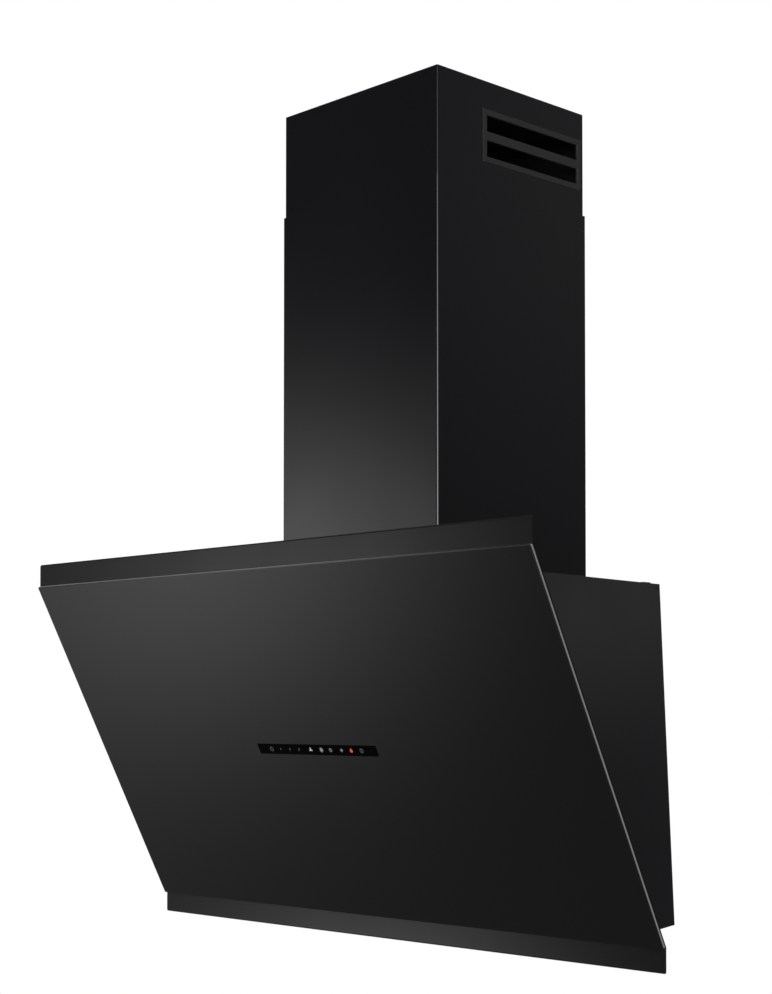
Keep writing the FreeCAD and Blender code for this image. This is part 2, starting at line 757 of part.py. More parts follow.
def chimney_screws():
    screws = []
    for p in foot_screw_places():
        seat = V(p.x, p.y, BODY_TOP_Z + CHIMNEY_SHEET)
        shank = rod(FOOT_SCREW_RADIUS, seat - V(0, 0, FOOT_SCREW_LENGTH), seat)
        head = rod(FOOT_SCREW_HEAD_RADIUS, seat, seat + V(0, 0, FOOT_SCREW_HEAD))
        screws.append(shank.fuse(head))
    return Part.Compound(screws)


def vent_height():
    return 2 * VENT_SLOT + VENT_BAR


def vent_block(grow, x):
    half_y = VENT_LENGTH / 2 + grow
    half_z = vent_height() / 2 + grow
    return box(x, (VENT_CENTRE_Y - half_y, VENT_CENTRE_Y + half_y),
               (vent_centre_z - half_z, vent_centre_z + half_z))


def upper_chimney_half():
    return CHIMNEY_WIDTH / 2 - TELESCOPE_INSET


def upper_chimney():
    cover = chimney_sheet(TELESCOPE_INSET, UPPER_CHIMNEY_TOP_Z - UPPER_CHIMNEY_LENGTH,
                          UPPER_CHIMNEY_TOP_Z)
    reach = CHIMNEY_WIDTH
    return cover.cut(vent_block(VENT_BORDER - VENT_FLANGE, (-reach, reach)))


def vent_grille():
    """The right-hand insert: a thin flange outside, a collar through the sheet, one bar."""
    face = upper_chimney_half()
    flange = vent_block(VENT_BORDER, (face, face + VENT_PROUD))
    collar = vent_block(VENT_BORDER - VENT_FLANGE, (face - VENT_DEPTH, face))
    grille = flange.fuse(collar).removeSplitter()
    for sign in (-1, 1):
        centre_z = vent_centre_z + sign * (VENT_SLOT + VENT_BAR) / 2
        grille = grille.cut(box(
            (face - 2 * VENT_DEPTH, face + 2 * VENT_PROUD),
            (VENT_CENTRE_Y - VENT_LENGTH / 2, VENT_CENTRE_Y + VENT_LENGTH / 2),
            (centre_z - VENT_SLOT / 2, centre_z + VENT_SLOT / 2)))
    return grille


def deflector_limits(shrink):
    """The deflector's depth and height, made smaller by so much."""
    half_y = VENT_LENGTH / 2 + VENT_BORDER + DEFLECTOR_MARGIN - shrink
    half_z = vent_height() / 2 + VENT_BORDER + DEFLECTOR_MARGIN - shrink
    return ((VENT_CENTRE_Y - half_y - DEFLECTOR_FRONT_REACH, VENT_CENTRE_Y + half_y),
            (vent_centre_z - half_z, vent_centre_z + half_z))


def air_deflector():
    """A box that is open at both sides, against the vents, over a round inlet."""
    half = upper_chimney_half() - max(CHIMNEY_SHEET, VENT_DEPTH)
    depth, height = deflector_limits(0)
    shell = box((-half, half), depth, height)
    foot = V(0, chimney_centre_y, height[0])
    low = foot - V(0, 0, DEFLECTOR_SPIGOT)
    roof = foot + V(0, 0, DEFLECTOR_WALL)
    shell = shell.fuse(rod(OUTLET_RADIUS, low, foot))
    shell = shell.cut(box((-half, half), *deflector_limits(DEFLECTOR_WALL)))
    return shell.cut(rod(OUTLET_RADIUS - OUTLET_WALL, low, roof))


def upper_wall_bracket():
    """A plate on the wall, a web forward from it and a tab on each side of the cover."""
    top = UPPER_CHIMNEY_TOP_Z - BRACKET_BELOW_TOP
    web_z = (top - BRACKET_SHEET, top)
    plate = box((-BRACKET_HALF, BRACKET_HALF), (-BRACKET_SHEET, 0), (top - BRACKET_HEIGHT, top))
    web = box((-BRACKET_HALF, BRACKET_HALF), (-BRACKET_WEB_DEPTH, 0), web_z)
    side = upper_chimney_half() - CHIMNEY_SHEET
    rear = -TELESCOPE_INSET - CHIMNEY_SHEET - BRACKET_RETURN_GAP
    wings = box((-side, side), (-BRACKET_WEB_DEPTH, rear), web_z)
    tabs = [box((s * (side - BRACKET_SHEET), s * side), (-BRACKET_WEB_DEPTH, rear),
                (top - BRACKET_TAB_HEIGHT, top)) for s in (-1, 1)]
    hole_z = top - BRACKET_HOLE_BELOW
    holes = [rod(BRACKET_HOLE_RADIUS, V(x, -2 * BRACKET_SHEET, hole_z), V(x, BRACKET_SHEET, hole_z))
             for x in (-BRACKET_HOLE_SPACING / 2, BRACKET_HOLE_SPACING / 2)]
    return joined([plate, web, wings] + tabs).cut(holes)


# ---------------------------------------------------------------- outlet, damper and duct

def centre_line(z):
    return V(0, chimney_centre_y, z)


def outlet_top_z():
    return BODY_TOP_Z + OUTLET_HEIGHT


def damper_plate_low_z():
    return DAMPER_Z - DAMPER_DROP - DAMPER_SHEET


def damper_pin_ends():
    reach = OUTLET_RADIUS - DAMPER_PIN_SHORT
    return V(-reach, chimney_centre_y, DAMPER_Z), V(reach, chimney_centre_y, DAMPER_Z)


def outlet_collar():
    inner = OUTLET_RADIUS - OUTLET_WALL
    spigot = ring(OUTLET_RADIUS, inner, centre_line(BODY_TOP_Z), centre_line(outlet_top_z()))
    flange = ring(OUTLET_FLANGE_RADIUS, inner, centre_line(BODY_TOP_Z),
                  centre_line(BODY_TOP_Z + OUTLET_FLANGE))
    ledge_top = damper_plate_low_z() - LEDGE_GAP
    ledge = ring(inner + OUTLET_WALL / 2, inner - LEDGE_WIDTH,
                 centre_line(ledge_top - LEDGE_THICKNESS), centre_line(ledge_top))
    return joined([spigot, flange, ledge]).cut(rod(DAMPER_PIN_RADIUS, *damper_pin_ends()))


def damper_pin():
    return rod(DAMPER_PIN_RADIUS, *damper_pin_ends())


def knuckle_spans(first):
    """Each second place along the pin, starting with the first or the second."""
    start = -KNUCKLE_PAIRS * KNUCKLE_LENGTH
    return [(start + (2 * i + first) * KNUCKLE_LENGTH + KNUCKLE_GAP / 2,
             start + (2 * i + first + 1) * KNUCKLE_LENGTH - KNUCKLE_GAP / 2)
            for i in range(KNUCKLE_PAIRS)]


def damper_flap(side, first):
    """Half a disc on one side of the pin, with knuckles that turn on it."""
    radius = OUTLET_RADIUS - OUTLET_WALL - DAMPER_RIM_GAP
    low = damper_plate_low_z()
    high = low + DAMPER_SHEET
    disc = rod(radius, centre_line(low), centre_line(high))
    near = chimney_centre_y + side * DAMPER_PIN_GAP
    far = chimney_centre_y + side * 2 * radius
    plate = disc.common(box((-radius, radius), (near, far), (low, high)))
    bore = DAMPER_PIN_RADIUS + PIN_CLEARANCE
    pieces = [plate]
    for start, end in knuckle_spans(first):
        pieces.append(box((start, end), (chimney_centre_y, near + side), (low, high)))
        pieces.append(rod(bore + KNUCKLE_WALL, V(start, chimney_centre_y, DAMPER_Z),
                          V(end, chimney_centre_y, DAMPER_Z)))
    return joined(pieces).cut(rod(bore, *damper_pin_ends()))


def deflector_spigot_low_z():
    return deflector_limits(0)[1][0] - DEFLECTOR_SPIGOT


def duct_ends():
    return outlet_top_z() - DUCT_LAP, deflector_spigot_low_z() + DUCT_LAP


def exhaust_duct():
    low, high = duct_ends()
    return ring(duct_radius + DUCT_WALL, duct_radius, centre_line(low), centre_line(high))


def duct_clamp(middle_z):
    inner = duct_radius + DUCT_WALL + CLAMP_GAP
    outer = inner + CLAMP_SHEET
    low, high = centre_line(middle_z - CLAMP_WIDTH / 2), centre_line(middle_z + CLAMP_WIDTH / 2)
    half = CLAMP_SCREW_BLOCK / 2
    block = box((-half, half), (chimney_centre_y - outer - half, chimney_centre_y - inner),
                (low.z, high.z))
    return rod(outer, low, high).fuse(block).cut(rod(inner, low, high)).removeSplitter()


def cable_gland():
    flange = rod(GLAND_FLANGE_RADIUS, V(GLAND_X, GLAND_Y, BODY_TOP_Z),
                 V(GLAND_X, GLAND_Y, BODY_TOP_Z + GLAND_FLANGE))
    low = V(GLAND_X, GLAND_Y, BODY_TOP_Z - GLAND_DROP)
    high = V(GLAND_X, GLAND_Y, BODY_TOP_Z + GLAND_RISE)
    return flange.fuse(rod(GLAND_SHANK_RADIUS, low, high)).cut(rod(GLAND_BORE_RADIUS, low, high))


# ---------------------------------------------------------------- blower

def fan_y():
    """The fan's axis, so that the scroll runs out into the throat's rear wall."""
    return chimney_centre_y + THROAT_DEPTH / 2 - SCROLL_RADIUS - 3 * SCROLL_GROWTH


def fan_point(x):
    return V(x, fan_y(), FAN_Z)


def scroll_outline(inset, top_z):
    """The scroll's outline in the plane X = 0: three growing arcs and the throat."""
    y0 = fan_y()
    grow = SCROLL_GROWTH
    small = SCROLL_RADIUS - inset
    middle = small + grow
    large = middle + grow
    throat_front = chimney_centre_y - THROAT_DEPTH / 2 + inset
    throat_rear = chimney_centre_y + THROAT_DEPTH / 2 - inset
    tongue_z = FAN_Z + math.sqrt(small ** 2 - (throat_front - y0) ** 2)

    def point(y, z):
        return V(0, y, z)

    def arc(centre_y, centre_z, radius, start, end):
        turn = [math.radians(a) for a in (start, (start + end) / 2, end)]
        return [point(centre_y + radius * math.cos(a), centre_z + radius * math.sin(a))
                for a in turn]

    tongue = point(throat_front, tongue_z)
    halfway = math.radians((180 + math.degrees(math.atan2(tongue_z - FAN_Z, throat_front - y0))) / 2)
    first = [tongue, point(y0 + small * math.cos(halfway), FAN_Z + small * math.sin(halfway)),
             point(y0 - small, FAN_Z)]
    second = arc(y0 + grow, FAN_Z, middle, 180, 270)
    third = arc(y0 + grow, FAN_Z + grow, large, 270, 360)
    edges = [Part.Arc(*points).toShape() for points in (first, second, third)]
    corners = [third[2], point(throat_rear, top_z), point(throat_front, top_z), tongue]
    edges += [Part.makeLine(a, b) for a, b in zip(corners, corners[1:])]
    return Part.Face(Part.Wire(Part.__sortEdges__(edges)))


def blower_scroll():
    """The right half of the blower housing, from the middle plane outwards."""
    top = BODY_TOP_Z - BODY_SHEET
    half = SCROLL_WIDTH / 2
    outer = scroll_outline(0, top).extrude(V(half, 0, 0))
    inner = scroll_outline(SCROLL_WALL, top).extrude(V(half - SCROLL_WALL, 0, 0))
    shell = outer.cut(inner)
    face = fan_point(half)
    end = fan_point(half + INLET_RING_LENGTH)
    inlet_ring = ring(INLET_RING_RADIUS, INLET_RING_RADIUS - INLET_RING_WALL, face, end)
    lug_end = half + INLET_RING_LENGTH
    lugs = bayonet_lugs(INLET_RING_RADIUS - 1, INLET_RING_RADIUS + LUG_HEIGHT,
                        lug_end - LUG_SHEET, lug_end)
    shell = joined([shell, inlet_ring] + lugs)
    return shell.cut(rod(INLET_RADIUS, fan_point(half - 2 * SCROLL_WALL), end))


def bayonet_lugs(inner, outer, start_x, end_x):
    """Short ring pieces spaced evenly about the fan's axis."""
    lugs = []
    for i in range(LUG_COUNT):
        angle = 360 * i / LUG_COUNT - LUG_HALF_ANGLE
        disc = Part.makeCylinder(outer, end_x - start_x, V(0, 0, 0), V(0, 0, 1), 2 * LUG_HALF_ANGLE)
        core = Part.makeCylinder(inner, end_x - start_x)
        lug = disc.cut(core)
        lug.rotate(V(0, 0, 0), V(0, 0, 1), angle)
        lug.rotate(V(0, 0, 0), V(0, 1, 0), 90)
        lug.translate(fan_point(start_x))
        lugs.append(lug)
    return lugs


def impeller():
    """Two rims and a centre plate with a hub; the plate has a slot for each blade."""
    half = IMPELLER_WIDTH / 2
    rims = [ring(IMPELLER_RADIUS, IMPELLER_RADIUS - BLADE_DEPTH - RIM_SHEET,
                 fan_point(start), fan_point(start + RIM_SHEET))
            for start in (-half, half - RIM_SHEET)]
    plate = rod(IMPELLER_RADIUS - PLATE_BORDER, fan_point(-PLATE_SHEET / 2),
                fan_point(PLATE_SHEET / 2))
    hub = rod(HUB_RADIUS, fan_point(-HUB_LENGTH / 2), fan_point(HUB_LENGTH))
    bore = rod(SHAFT_RADIUS, fan_point(-half), fan_point(half))
    return Part.Compound(rims + [joined([plate, hub]).cut([bore] + blades())])


def blades():
    """Strips between the rims, through the plate, each turned away from the radius."""
    reach = IMPELLER_WIDTH / 2 - RIM_SHEET
    strips = []
    for i in range(BLADE_COUNT):
        strip = box((-reach, reach), (0, BLADE_DEPTH), (-BLADE_SHEET / 2, BLADE_SHEET / 2))
        strip.rotate(V(0, 0, 0), V(1, 0, 0), BLADE_ANGLE)
        strip.translate(V(0, IMPELLER_RADIUS - RIM_SHEET / 2 - BLADE_DEPTH, 0))
        strip.rotate(V(0, 0, 0), V(1, 0, 0), 360 * i / BLADE_COUNT)
        strip.translate(fan_point(0))
        strips.append(strip)
    return strips


def motor_start_x():
    return HUB_LENGTH + MOTOR_GAP


def motor_shaft():
    return rod(SHAFT_RADIUS, fan_point(-SHAFT_END), fan_point(SCROLL_WIDTH / 2))


def blower_motor():
    start, end = motor_start_x(), SCROLL_WIDTH / 2
    body = rod(MOTOR_RADIUS, fan_point(start + MOTOR_BOSS), fan_point(end - MOTOR_BOSS))
    bosses = rod(MOTOR_BOSS_RADIUS, fan_point(start), fan_point(end))
    bore = rod(SHAFT_RADIUS + SHAFT_CLEARANCE, fan_point(0), fan_point(end))
    return body.fuse(bosses).cut(bore)


def motor_mount():
    """A hub plate and arms across the right-hand inlet, outside the scroll's side wall."""
    face = SCROLL_WIDTH / 2
    hub = rod(MOUNT_HUB_RADIUS, fan_point(face), fan_point(face + MOUNT_SHEET))
    arms = []
    for i in range(MOUNT_ARMS):
        arm = box((face, face + MOUNT_SHEET), (0, MOUNT_ARM_REACH),
                  (-MOUNT_ARM_WIDTH / 2, MOUNT_ARM_WIDTH / 2))
        arm.rotate(V(0, 0, 0), V(1, 0, 0), 90 + 360 * i / MOUNT_ARMS)
        arm.translate(fan_point(0))
        arms.append(arm)
    return joined([hub] + arms)


def charcoal_filter():
    """The right-hand carbon cassette, held by inner lugs behind those of the inlet ring."""
    start = SCROLL_WIDTH / 2 + MOUNT_SHEET + CHARCOAL_GAP
    end = start + CHARCOAL_THICKNESS
    ring_end = SCROLL_WIDTH / 2 + INLET_RING_LENGTH
    recess = INLET_RING_RADIUS + LUG_HEIGHT + LUG_GAP
    drum = rod(CHARCOAL_RADIUS, fan_point(start), fan_point(end))
    drum = drum.cut(rod(recess, fan_point(start), fan_point(start + CHARCOAL_RECESS)))
    lug_end = ring_end - LUG_SHEET - LUG_GAP
    lugs = bayonet_lugs(INLET_RING_RADIUS + LUG_GAP, recess + 1, start, lug_end)
    grip = rod(CHARCOAL_GRIP_RADIUS, fan_point(end - CHARCOAL_GRIP_DEPTH), fan_point(end))
    bar = box((end - CHARCOAL_GRIP_DEPTH, end), (-CHARCOAL_GRIP_RADIUS, CHARCOAL_GRIP_RADIUS),
              (-CHARCOAL_GRIP_BAR / 2, CHARCOAL_GRIP_BAR / 2))
    bar.translate(fan_point(0))
    return joined([drum] + lugs).cut(grip.cut(bar))


# ---------------------------------------------------------------- electric parts

def control_box_limits(shrink):
    return ((CONTROL_BOX_X + shrink, CONTROL_BOX_X + CONTROL_BOX_WIDTH - shrink),
            (CONTROL_BOX_FRONT_Y + shrink, CONTROL_BOX_FRONT_Y + CONTROL_BOX_DEPTH - shrink))


def control_box():
    top = BODY_TOP_Z - BODY_SHEET
    tray = box(*control_box_limits(0), (top - CONTROL_BOX_HEIGHT, top))
    inner_top = top - CONTROL_BOX_WALL
    tray = tray.cut(box(*control_box_limits(CONTROL_BOX_WALL), (top - CONTROL_BOX_HEIGHT, inner_top)))
    across, deep = control_box_limits(2 * POWER_BOARD_INSET)
    posts = [rod(STANDOFF_RADIUS, V(x, y, top - POWER_BOARD_DROP), V(x, y, inner_top))
             for x in across for y in deep]
    return joined([tray] + posts)


def control_box_lid():
    low = BODY_TOP_Z - BODY_SHEET - CONTROL_BOX_HEIGHT
    return box(*control_box_limits(0), (low - CONTROL_BOX_WALL, low))


def power_board_low_z():
    return BODY_TOP_Z - BODY_SHEET - POWER_BOARD_DROP - BOARD_SHEET


def power_board():
    low = power_board_low_z()
    return box(*control_box_limits(POWER_BOARD_INSET), (low, low + BOARD_SHEET))


def terminal_block():
    across, deep = control_box_limits(POWER_BOARD_INSET)
    low = power_board_low_z()
    middle = sum(across) / 2
    return box((middle - TERMINAL_WIDTH / 2, middle + TERMINAL_WIDTH / 2),
               (deep[1] - TERMINAL_DEPTH, deep[1]), (low - TERMINAL_HEIGHT, low))


def run_capacitor():
    top = BODY_TOP_Z - BODY_SHEET
    return rod(CAPACITOR_RADIUS, V(CAPACITOR_X, CAPACITOR_Y, top - CAPACITOR_LENGTH),
               V(CAPACITOR_X, CAPACITOR_Y, top))


# ---------------------------------------------------------------- the whole hood

def all_nodes():
    nodes = housing_panels()
    duct_low, duct_high = duct_ends()
    nodes.update({
        "lower_chimney": lower_chimney(),
        "chimney_screws": chimney_screws(),
        "outlet_collar": outlet_collar(),
        "damper_pin": damper_pin(),
        "damper_flap_front": damper_flap(-1, 0),
        "damper_flap_rear": damper_flap(1, 1),
        "exhaust_duct": exhaust_duct(),
        "lower_duct_clamp": duct_clamp(duct_low + CLAMP_WIDTH),
        "upper_duct_clamp": duct_clamp(duct_high - CLAMP_WIDTH),
        "cable_gland": cable_gland(),
        "blower_scroll_right": blower_scroll(),
        "blower_scroll_left": mirrored(blower_scroll()),
        "impeller": impeller(),
        "impeller_blades": Part.Compound(blades()),
        "motor_shaft": motor_shaft(),
        "blower_motor": blower_motor(),
        "motor_mount": motor_mount(),
        "charcoal_filter_right": charcoal_filter(),
        "charcoal_filter_left": mirrored(charcoal_filter()),
        "control_box": control_box(),
        "control_box_lid": control_box_lid(),
        "power_board": power_board(),
        "terminal_block": terminal_block(),
        "run_capacitor": run_capacitor(),
        "glass_panel": glass_panel(),
        "door_carrier": door_carrier(),
        "control_window": control_window(),
        "touch_board": touch_board(),
        "touch_board_case": touch_board_case(),
        "strike_plates": strike_plates(),
        "door_magnets": door_magnets(),
        "upper_chimney": upper_chimney(),
        "vent_grille_right": vent_grille(),
        "vent_grille_left": mirrored(vent_grille()),
        "air_deflector": air_deflector(),
        "upper_wall_bracket": upper_wall_bracket(),
    })
    for side, sign in (("left", -1), ("right", 1)):
        nodes[f"lamp_{side}"] = lamp(sign * LAMP_X)
        nodes[f"lamp_lens_{side}"] = lamp_lens(sign * LAMP_X)
        nodes[f"hinge_bracket_{side}"] = hinge_bracket(sign * HINGE_X)
        nodes[f"hinge_arm_{side}"] = hinge_arm(sign * HINGE_X)
        nodes[f"hinge_pin_{side}"] = hinge_pin(sign * HINGE_X)
    for side, x in filter_centres().items():
        nodes[f"grease_filter_frame_{side}"] = grease_filter_frame(x)
        nodes[f"grease_filter_mesh_{side}"] = grease_filter_mesh(x)
        nodes[f"filter_latch_{side}"] = filter_latch(x)
        nodes[f"latch_spring_{side}"] = latch_spring(x)
    return nodes


os.makedirs("parts", exist_ok=True)
for name, shape in all_nodes().items():
    shape.exportStep(f"parts/{name}.step")
    print(name, len(shape.Solids), round(shape.Volume, 1), shape.isValid())
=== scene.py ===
import json
import math

import bmesh
import bpy
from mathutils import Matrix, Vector
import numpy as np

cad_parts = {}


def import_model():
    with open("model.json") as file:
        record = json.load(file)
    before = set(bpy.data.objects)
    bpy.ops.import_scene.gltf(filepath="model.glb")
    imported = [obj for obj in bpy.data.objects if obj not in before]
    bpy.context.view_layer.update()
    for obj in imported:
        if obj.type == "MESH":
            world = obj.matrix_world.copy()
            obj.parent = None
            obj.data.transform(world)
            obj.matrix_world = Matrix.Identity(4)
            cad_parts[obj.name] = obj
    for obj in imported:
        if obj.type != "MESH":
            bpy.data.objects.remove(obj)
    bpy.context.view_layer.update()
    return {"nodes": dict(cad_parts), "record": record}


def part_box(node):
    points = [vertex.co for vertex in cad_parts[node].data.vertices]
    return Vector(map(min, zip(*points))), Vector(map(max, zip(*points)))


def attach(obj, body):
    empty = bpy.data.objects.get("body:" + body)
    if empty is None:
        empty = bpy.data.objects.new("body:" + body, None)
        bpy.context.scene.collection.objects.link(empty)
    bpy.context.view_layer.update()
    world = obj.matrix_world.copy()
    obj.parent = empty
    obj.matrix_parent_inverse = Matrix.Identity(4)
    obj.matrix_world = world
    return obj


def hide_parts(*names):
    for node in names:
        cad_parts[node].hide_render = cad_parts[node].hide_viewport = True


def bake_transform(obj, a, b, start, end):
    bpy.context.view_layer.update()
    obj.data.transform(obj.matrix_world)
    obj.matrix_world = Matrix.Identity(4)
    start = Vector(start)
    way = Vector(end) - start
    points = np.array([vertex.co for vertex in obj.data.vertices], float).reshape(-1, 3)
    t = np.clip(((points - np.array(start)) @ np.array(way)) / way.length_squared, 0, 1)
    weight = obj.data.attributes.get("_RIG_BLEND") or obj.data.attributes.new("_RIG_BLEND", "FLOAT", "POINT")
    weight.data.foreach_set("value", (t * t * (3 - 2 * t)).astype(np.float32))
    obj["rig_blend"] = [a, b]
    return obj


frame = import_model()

# An inclined chimney range hood, dressed around its frame. Metres, X to the right, -Y to the
# cook, +Z up; the origin is the centre of the four wall screws.

# ---------------- sizes

TILT = math.radians(26.94)            # the glass leans out from the vertical
GLASS_TOP = Vector((0, -0.4076, 0.1929))
GLASS_HALF = 0.399
GLASS_LENGTH = 0.4302
GLASS_SHEET = 0.004
GLASS_CORNER = 0.0012
GLASS_ARRIS = 0.0005
GLASS_DARK_EDGE = 0.0013              # the clear front part of its side edges

STRIP_HALF = 0.097                    # touch strip in the glass
STRIP_HEIGHT = 0.013
STRIP_DEPTH = 0.001
STRIP_V = 0.2165
STRIP_PLACE = ((-STRIP_HALF, STRIP_HALF),
               (STRIP_V - STRIP_HEIGHT / 2, STRIP_V + STRIP_HEIGHT / 2))
BOARD_HALF = 0.104                    # the hole for the touch board in the tray
BOARD_HEIGHT = 0.027

CARRIER_SHEET = 0.0012
BAND_HEIGHT = 0.026
BAND_RETURN = 0.014
RETURN_END_GAP = 0.016
BAND_CORNER = 0.0025

SHEET_BEND = 0.0005                   # inner radius of a bent sheet
CHIMNEY_SHEET = 0.001
CHIMNEY_RETURN = 0.015
CHIMNEY_FOOT = 0.012
LOWER_BEND = 0.0013                   # at the front corners
UPPER_BEND = 0.0003
REAR_BEND = 0.0001

VENT_Y = -0.0904
VENT_Z = 0.6821
VENT_HALF_Y = 0.0775
VENT_SLOT = 0.0182
VENT_BAR = 0.010
VENT_BORDER = 0.0065
VENT_FLANGE = 0.003
VENT_PROUD = 0.0005
VENT_DEPTH = 0.003

CHIMNEY_Y = -0.12425                  # centre line of the chimney, collar and duct
FOOT_SCREWS = ((-0.120, 0.120), (-0.055, -0.1935))

FAN_Y = -0.16625
FAN_Z = 0.085

MESH_HALF = 0.1045                    # grease filter mesh inside its frame
MESH_V = (0.0735, 0.4065)
MESH_W = 0.0375
MESH_SHEET = 0.0008
MESH_STEP = 0.002
POCKET_END_V = 0.1189
FILTER_X = 0.126
SPRING_V = (0.0982, 0.1126)
SPRING_W = 0.0366

HINGE_X = 0.200
FRONT_W = 0.034                       # front face of the housing
UNDERSIDE_TILT = math.radians(3.6)
UNDERSIDE_Z = -0.1958
LAMP_X = 0.150
LAMP_Y = -0.095

# ---------------- frame

scene = bpy.context.scene
record = frame["record"]
BODY_OF = {node: body for body, nodes in record["behaviour"]["bodies"].items() for node in nodes}
SLOT_OF = {part["node"]: part["material_slot"] for part in record["subparts"]}


def slope(x, v, w):
    """A point given across, down the slope from the glass's top edge, and behind its front."""
    return GLASS_TOP + Vector((
        x, v * math.sin(TILT) + w * math.cos(TILT), w * math.sin(TILT) - v * math.cos(TILT)))


def plain(x, y, z):
    return Vector((x, y, z))


def underside(x, y, height):
    """A point given by its place on the sloping underside and its height over it."""
    c, s = math.cos(UNDERSIDE_TILT), math.sin(UNDERSIDE_TILT)
    return Vector((x, y * c - height * s, UNDERSIDE_Z + y * s + height * c))


def upright(x, y):
    """Places for something turned about an upright line."""
    return lambda u, v, t: Vector((x + u, y + v, t))


def across(y, z, sign=1):
    """Places for something turned about a line along X."""
    return lambda u, v, t: Vector((sign * t, y + u, z + v))


# ---------------- material nodes

def add_node(tree, kind, inputs=(), **settings):
    """Adds a node. Its inputs, by place or by name, are values or sockets to link."""
    made = tree.nodes.new(kind)
    for name, value in settings.items():
        setattr(made, name, value)
    for key, value in inputs.items() if isinstance(inputs, dict) else enumerate(inputs):
        if isinstance(value, bpy.types.NodeSocket):
            tree.links.new(value, made.inputs[key])
        else:
            made.inputs[key].default_value = value
    return made


class Finish:
    """A procedural material: noises in the object's own space drive its colour, gloss and bump."""

    def __init__(self, name, **sockets):
        self.material = bpy.data.materials.new(name)
        self.material.use_nodes = True
        self.tree = self.material.node_tree
        self.shader = self.tree.nodes["Principled BSDF"]
        for socket, value in sockets.items():
            self.shader.inputs[socket.replace("_", " ")].default_value = value
        self.space = self.node("ShaderNodeTexCoord").outputs["Object"]
        self.last_bump = None

    def node(self, kind, inputs=(), **settings):
        return add_node(self.tree, kind, inputs, **settings)

    def drive(self, socket, source):
        self.tree.links.new(source, self.shader.inputs[socket])

    def noise(self, scale, detail=3.0, stretch=None, roughness=0.5, distortion=0.0):
        space = self.space
        if stretch:
            space = self.node("ShaderNodeMapping", {"Vector": space, "Scale": stretch}).outputs[0]
        return self.node("ShaderNodeTexNoise", {
            "Vector": space, "Scale": scale, "Detail": detail, "Roughness": roughness,
            "Distortion": distortion}).outputs["Fac"]

    def cells(self, scale, feature="F1"):
        return self.node("ShaderNodeTexVoronoi", {"Vector": self.space, "Scale": scale},
                         feature=feature).outputs["Distance"]

    def between(self, value, low, high, start=0.3, end=0.7):
        """Takes a value from one range to another."""
        return self.node("ShaderNodeMapRange", [value, start, end, low, high]).outputs["Result"]

    def maths(self, operation, first, second):
        return self.node("ShaderNodeMath", [first, second], operation=operation).outputs["Value"]

    def colours(self, factor, first, second):
        first, second = [(*c, 1.0) if isinstance(c, tuple) else c for c in (first, second)]
        return self.node("ShaderNodeMix", {"Factor": factor, 6: first, 7: second},
                         data_type="RGBA").outputs[2]

    def colour(self, factor, first, second, socket="Base Color"):
        self.drive(socket, self.colours(factor, first, second))

    def gloss(self, value, low, high, start=0.3, end=0.7):
        self.drive("Roughness", self.between(value, low, high, start, end))

    def bump(self, height, distance, strength=1.0):
        inputs = {"Height": height, "Distance": distance, "Strength": strength}
        if self.last_bump:
            inputs["Normal"] = self.last_bump
        self.last_bump = self.node("ShaderNodeBump", inputs).outputs["Normal"]
        self.drive("Normal", self.last_bump)


def grey(value, blue=1.0):
    return (value, value, value * blue)


def painted_steel(name, base, low, high, shine=0.5, blue=1.08):
    """Smooth powder coat: a faint orange peel, dust-fine speckle and slow drifts in gloss."""
    finish = Finish(name, IOR=1.5, Specular_IOR_Level=shine)
    drift = finish.noise(7.0, detail=2.0)
    speckle = finish.noise(2600.0, detail=1.0)
    finish.colour(finish.maths("MULTIPLY", drift, speckle), grey(base * 0.8, blue),
                  grey(base * 1.9, blue))
    finish.gloss(drift, low, high)
    finish.bump(finish.noise(420.0, detail=2.0), 0.00002, 0.5)
    finish.bump(finish.noise(9.0, detail=1.0), 0.0006, 0.12)
    return finish.material


def black_glass():
    """Back-enamelled glass: deep black, with the faintest wipe marks in its gloss."""
    finish = Finish("black_glass", IOR=1.52)
    depth = finish.noise(3.0, detail=2.0)
    finish.colour(depth, grey(0.0022), grey(0.0034))
    wiped = finish.noise(14.0, detail=5.0, stretch=(0.35, 1.0, 1.6), distortion=0.6)
    finish.gloss(wiped, 0.035, 0.07)
    finish.bump(finish.noise(4.0, detail=1.0), 0.0004, 0.05)
    return finish.material


def ground_edge_painted_light(name, low, high, far):
    """The cut and ground edge of the glass, pale grey and grained, with another tone painted towards its
    right-hand end that stands in for how light falls along the edge: painted light.
    """
    finish = Finish(name, IOR=1.52)
    grind = finish.noise(900.0, detail=3.0, stretch=(0.2, 1.0, 1.0))
    parts = finish.node("ShaderNodeSeparateXYZ", [finish.space])
    # painted light: by X, the edge's tone goes over to the tone of its right-hand end
    along = finish.between(parts.outputs["X"], 0.0, 1.0, 0.02, 0.36)
    near = finish.colours(grind, grey(low, 1.02), grey(high, 1.02))
    finish.colour(along, near, grey(far, 1.02))
    finish.gloss(grind, 0.30, 0.45)
    finish.bump(grind, 0.00003, 0.4)
    return finish.material


def grained(name, scale, detail, tones, rough, relief, **sockets):
    """An even material: one fine grain drives its colour, gloss and relief."""
    finish = Finish(name, **sockets)
    grain = finish.noise(scale, detail=detail)
    finish.colour(grain, *[grey(tone) for tone in tones])
    finish.gloss(grain, *rough)
    finish.bump(grain, *relief)
    return finish.material


def lit_mark(name, colour, glow):
    """A printed mark with a lamp behind it, its tone varied by a fine grain."""
    finish = Finish(name, IOR=1.45, Emission_Strength=glow)
    fine = finish.noise(1200.0, detail=1.0)
    dim = tuple(c * 0.7 for c in colour)
    finish.colour(fine, dim, colour)
    finish.colour(fine, dim, colour, "Emission Color")
    finish.gloss(fine, 0.25, 0.35)
    return finish.material


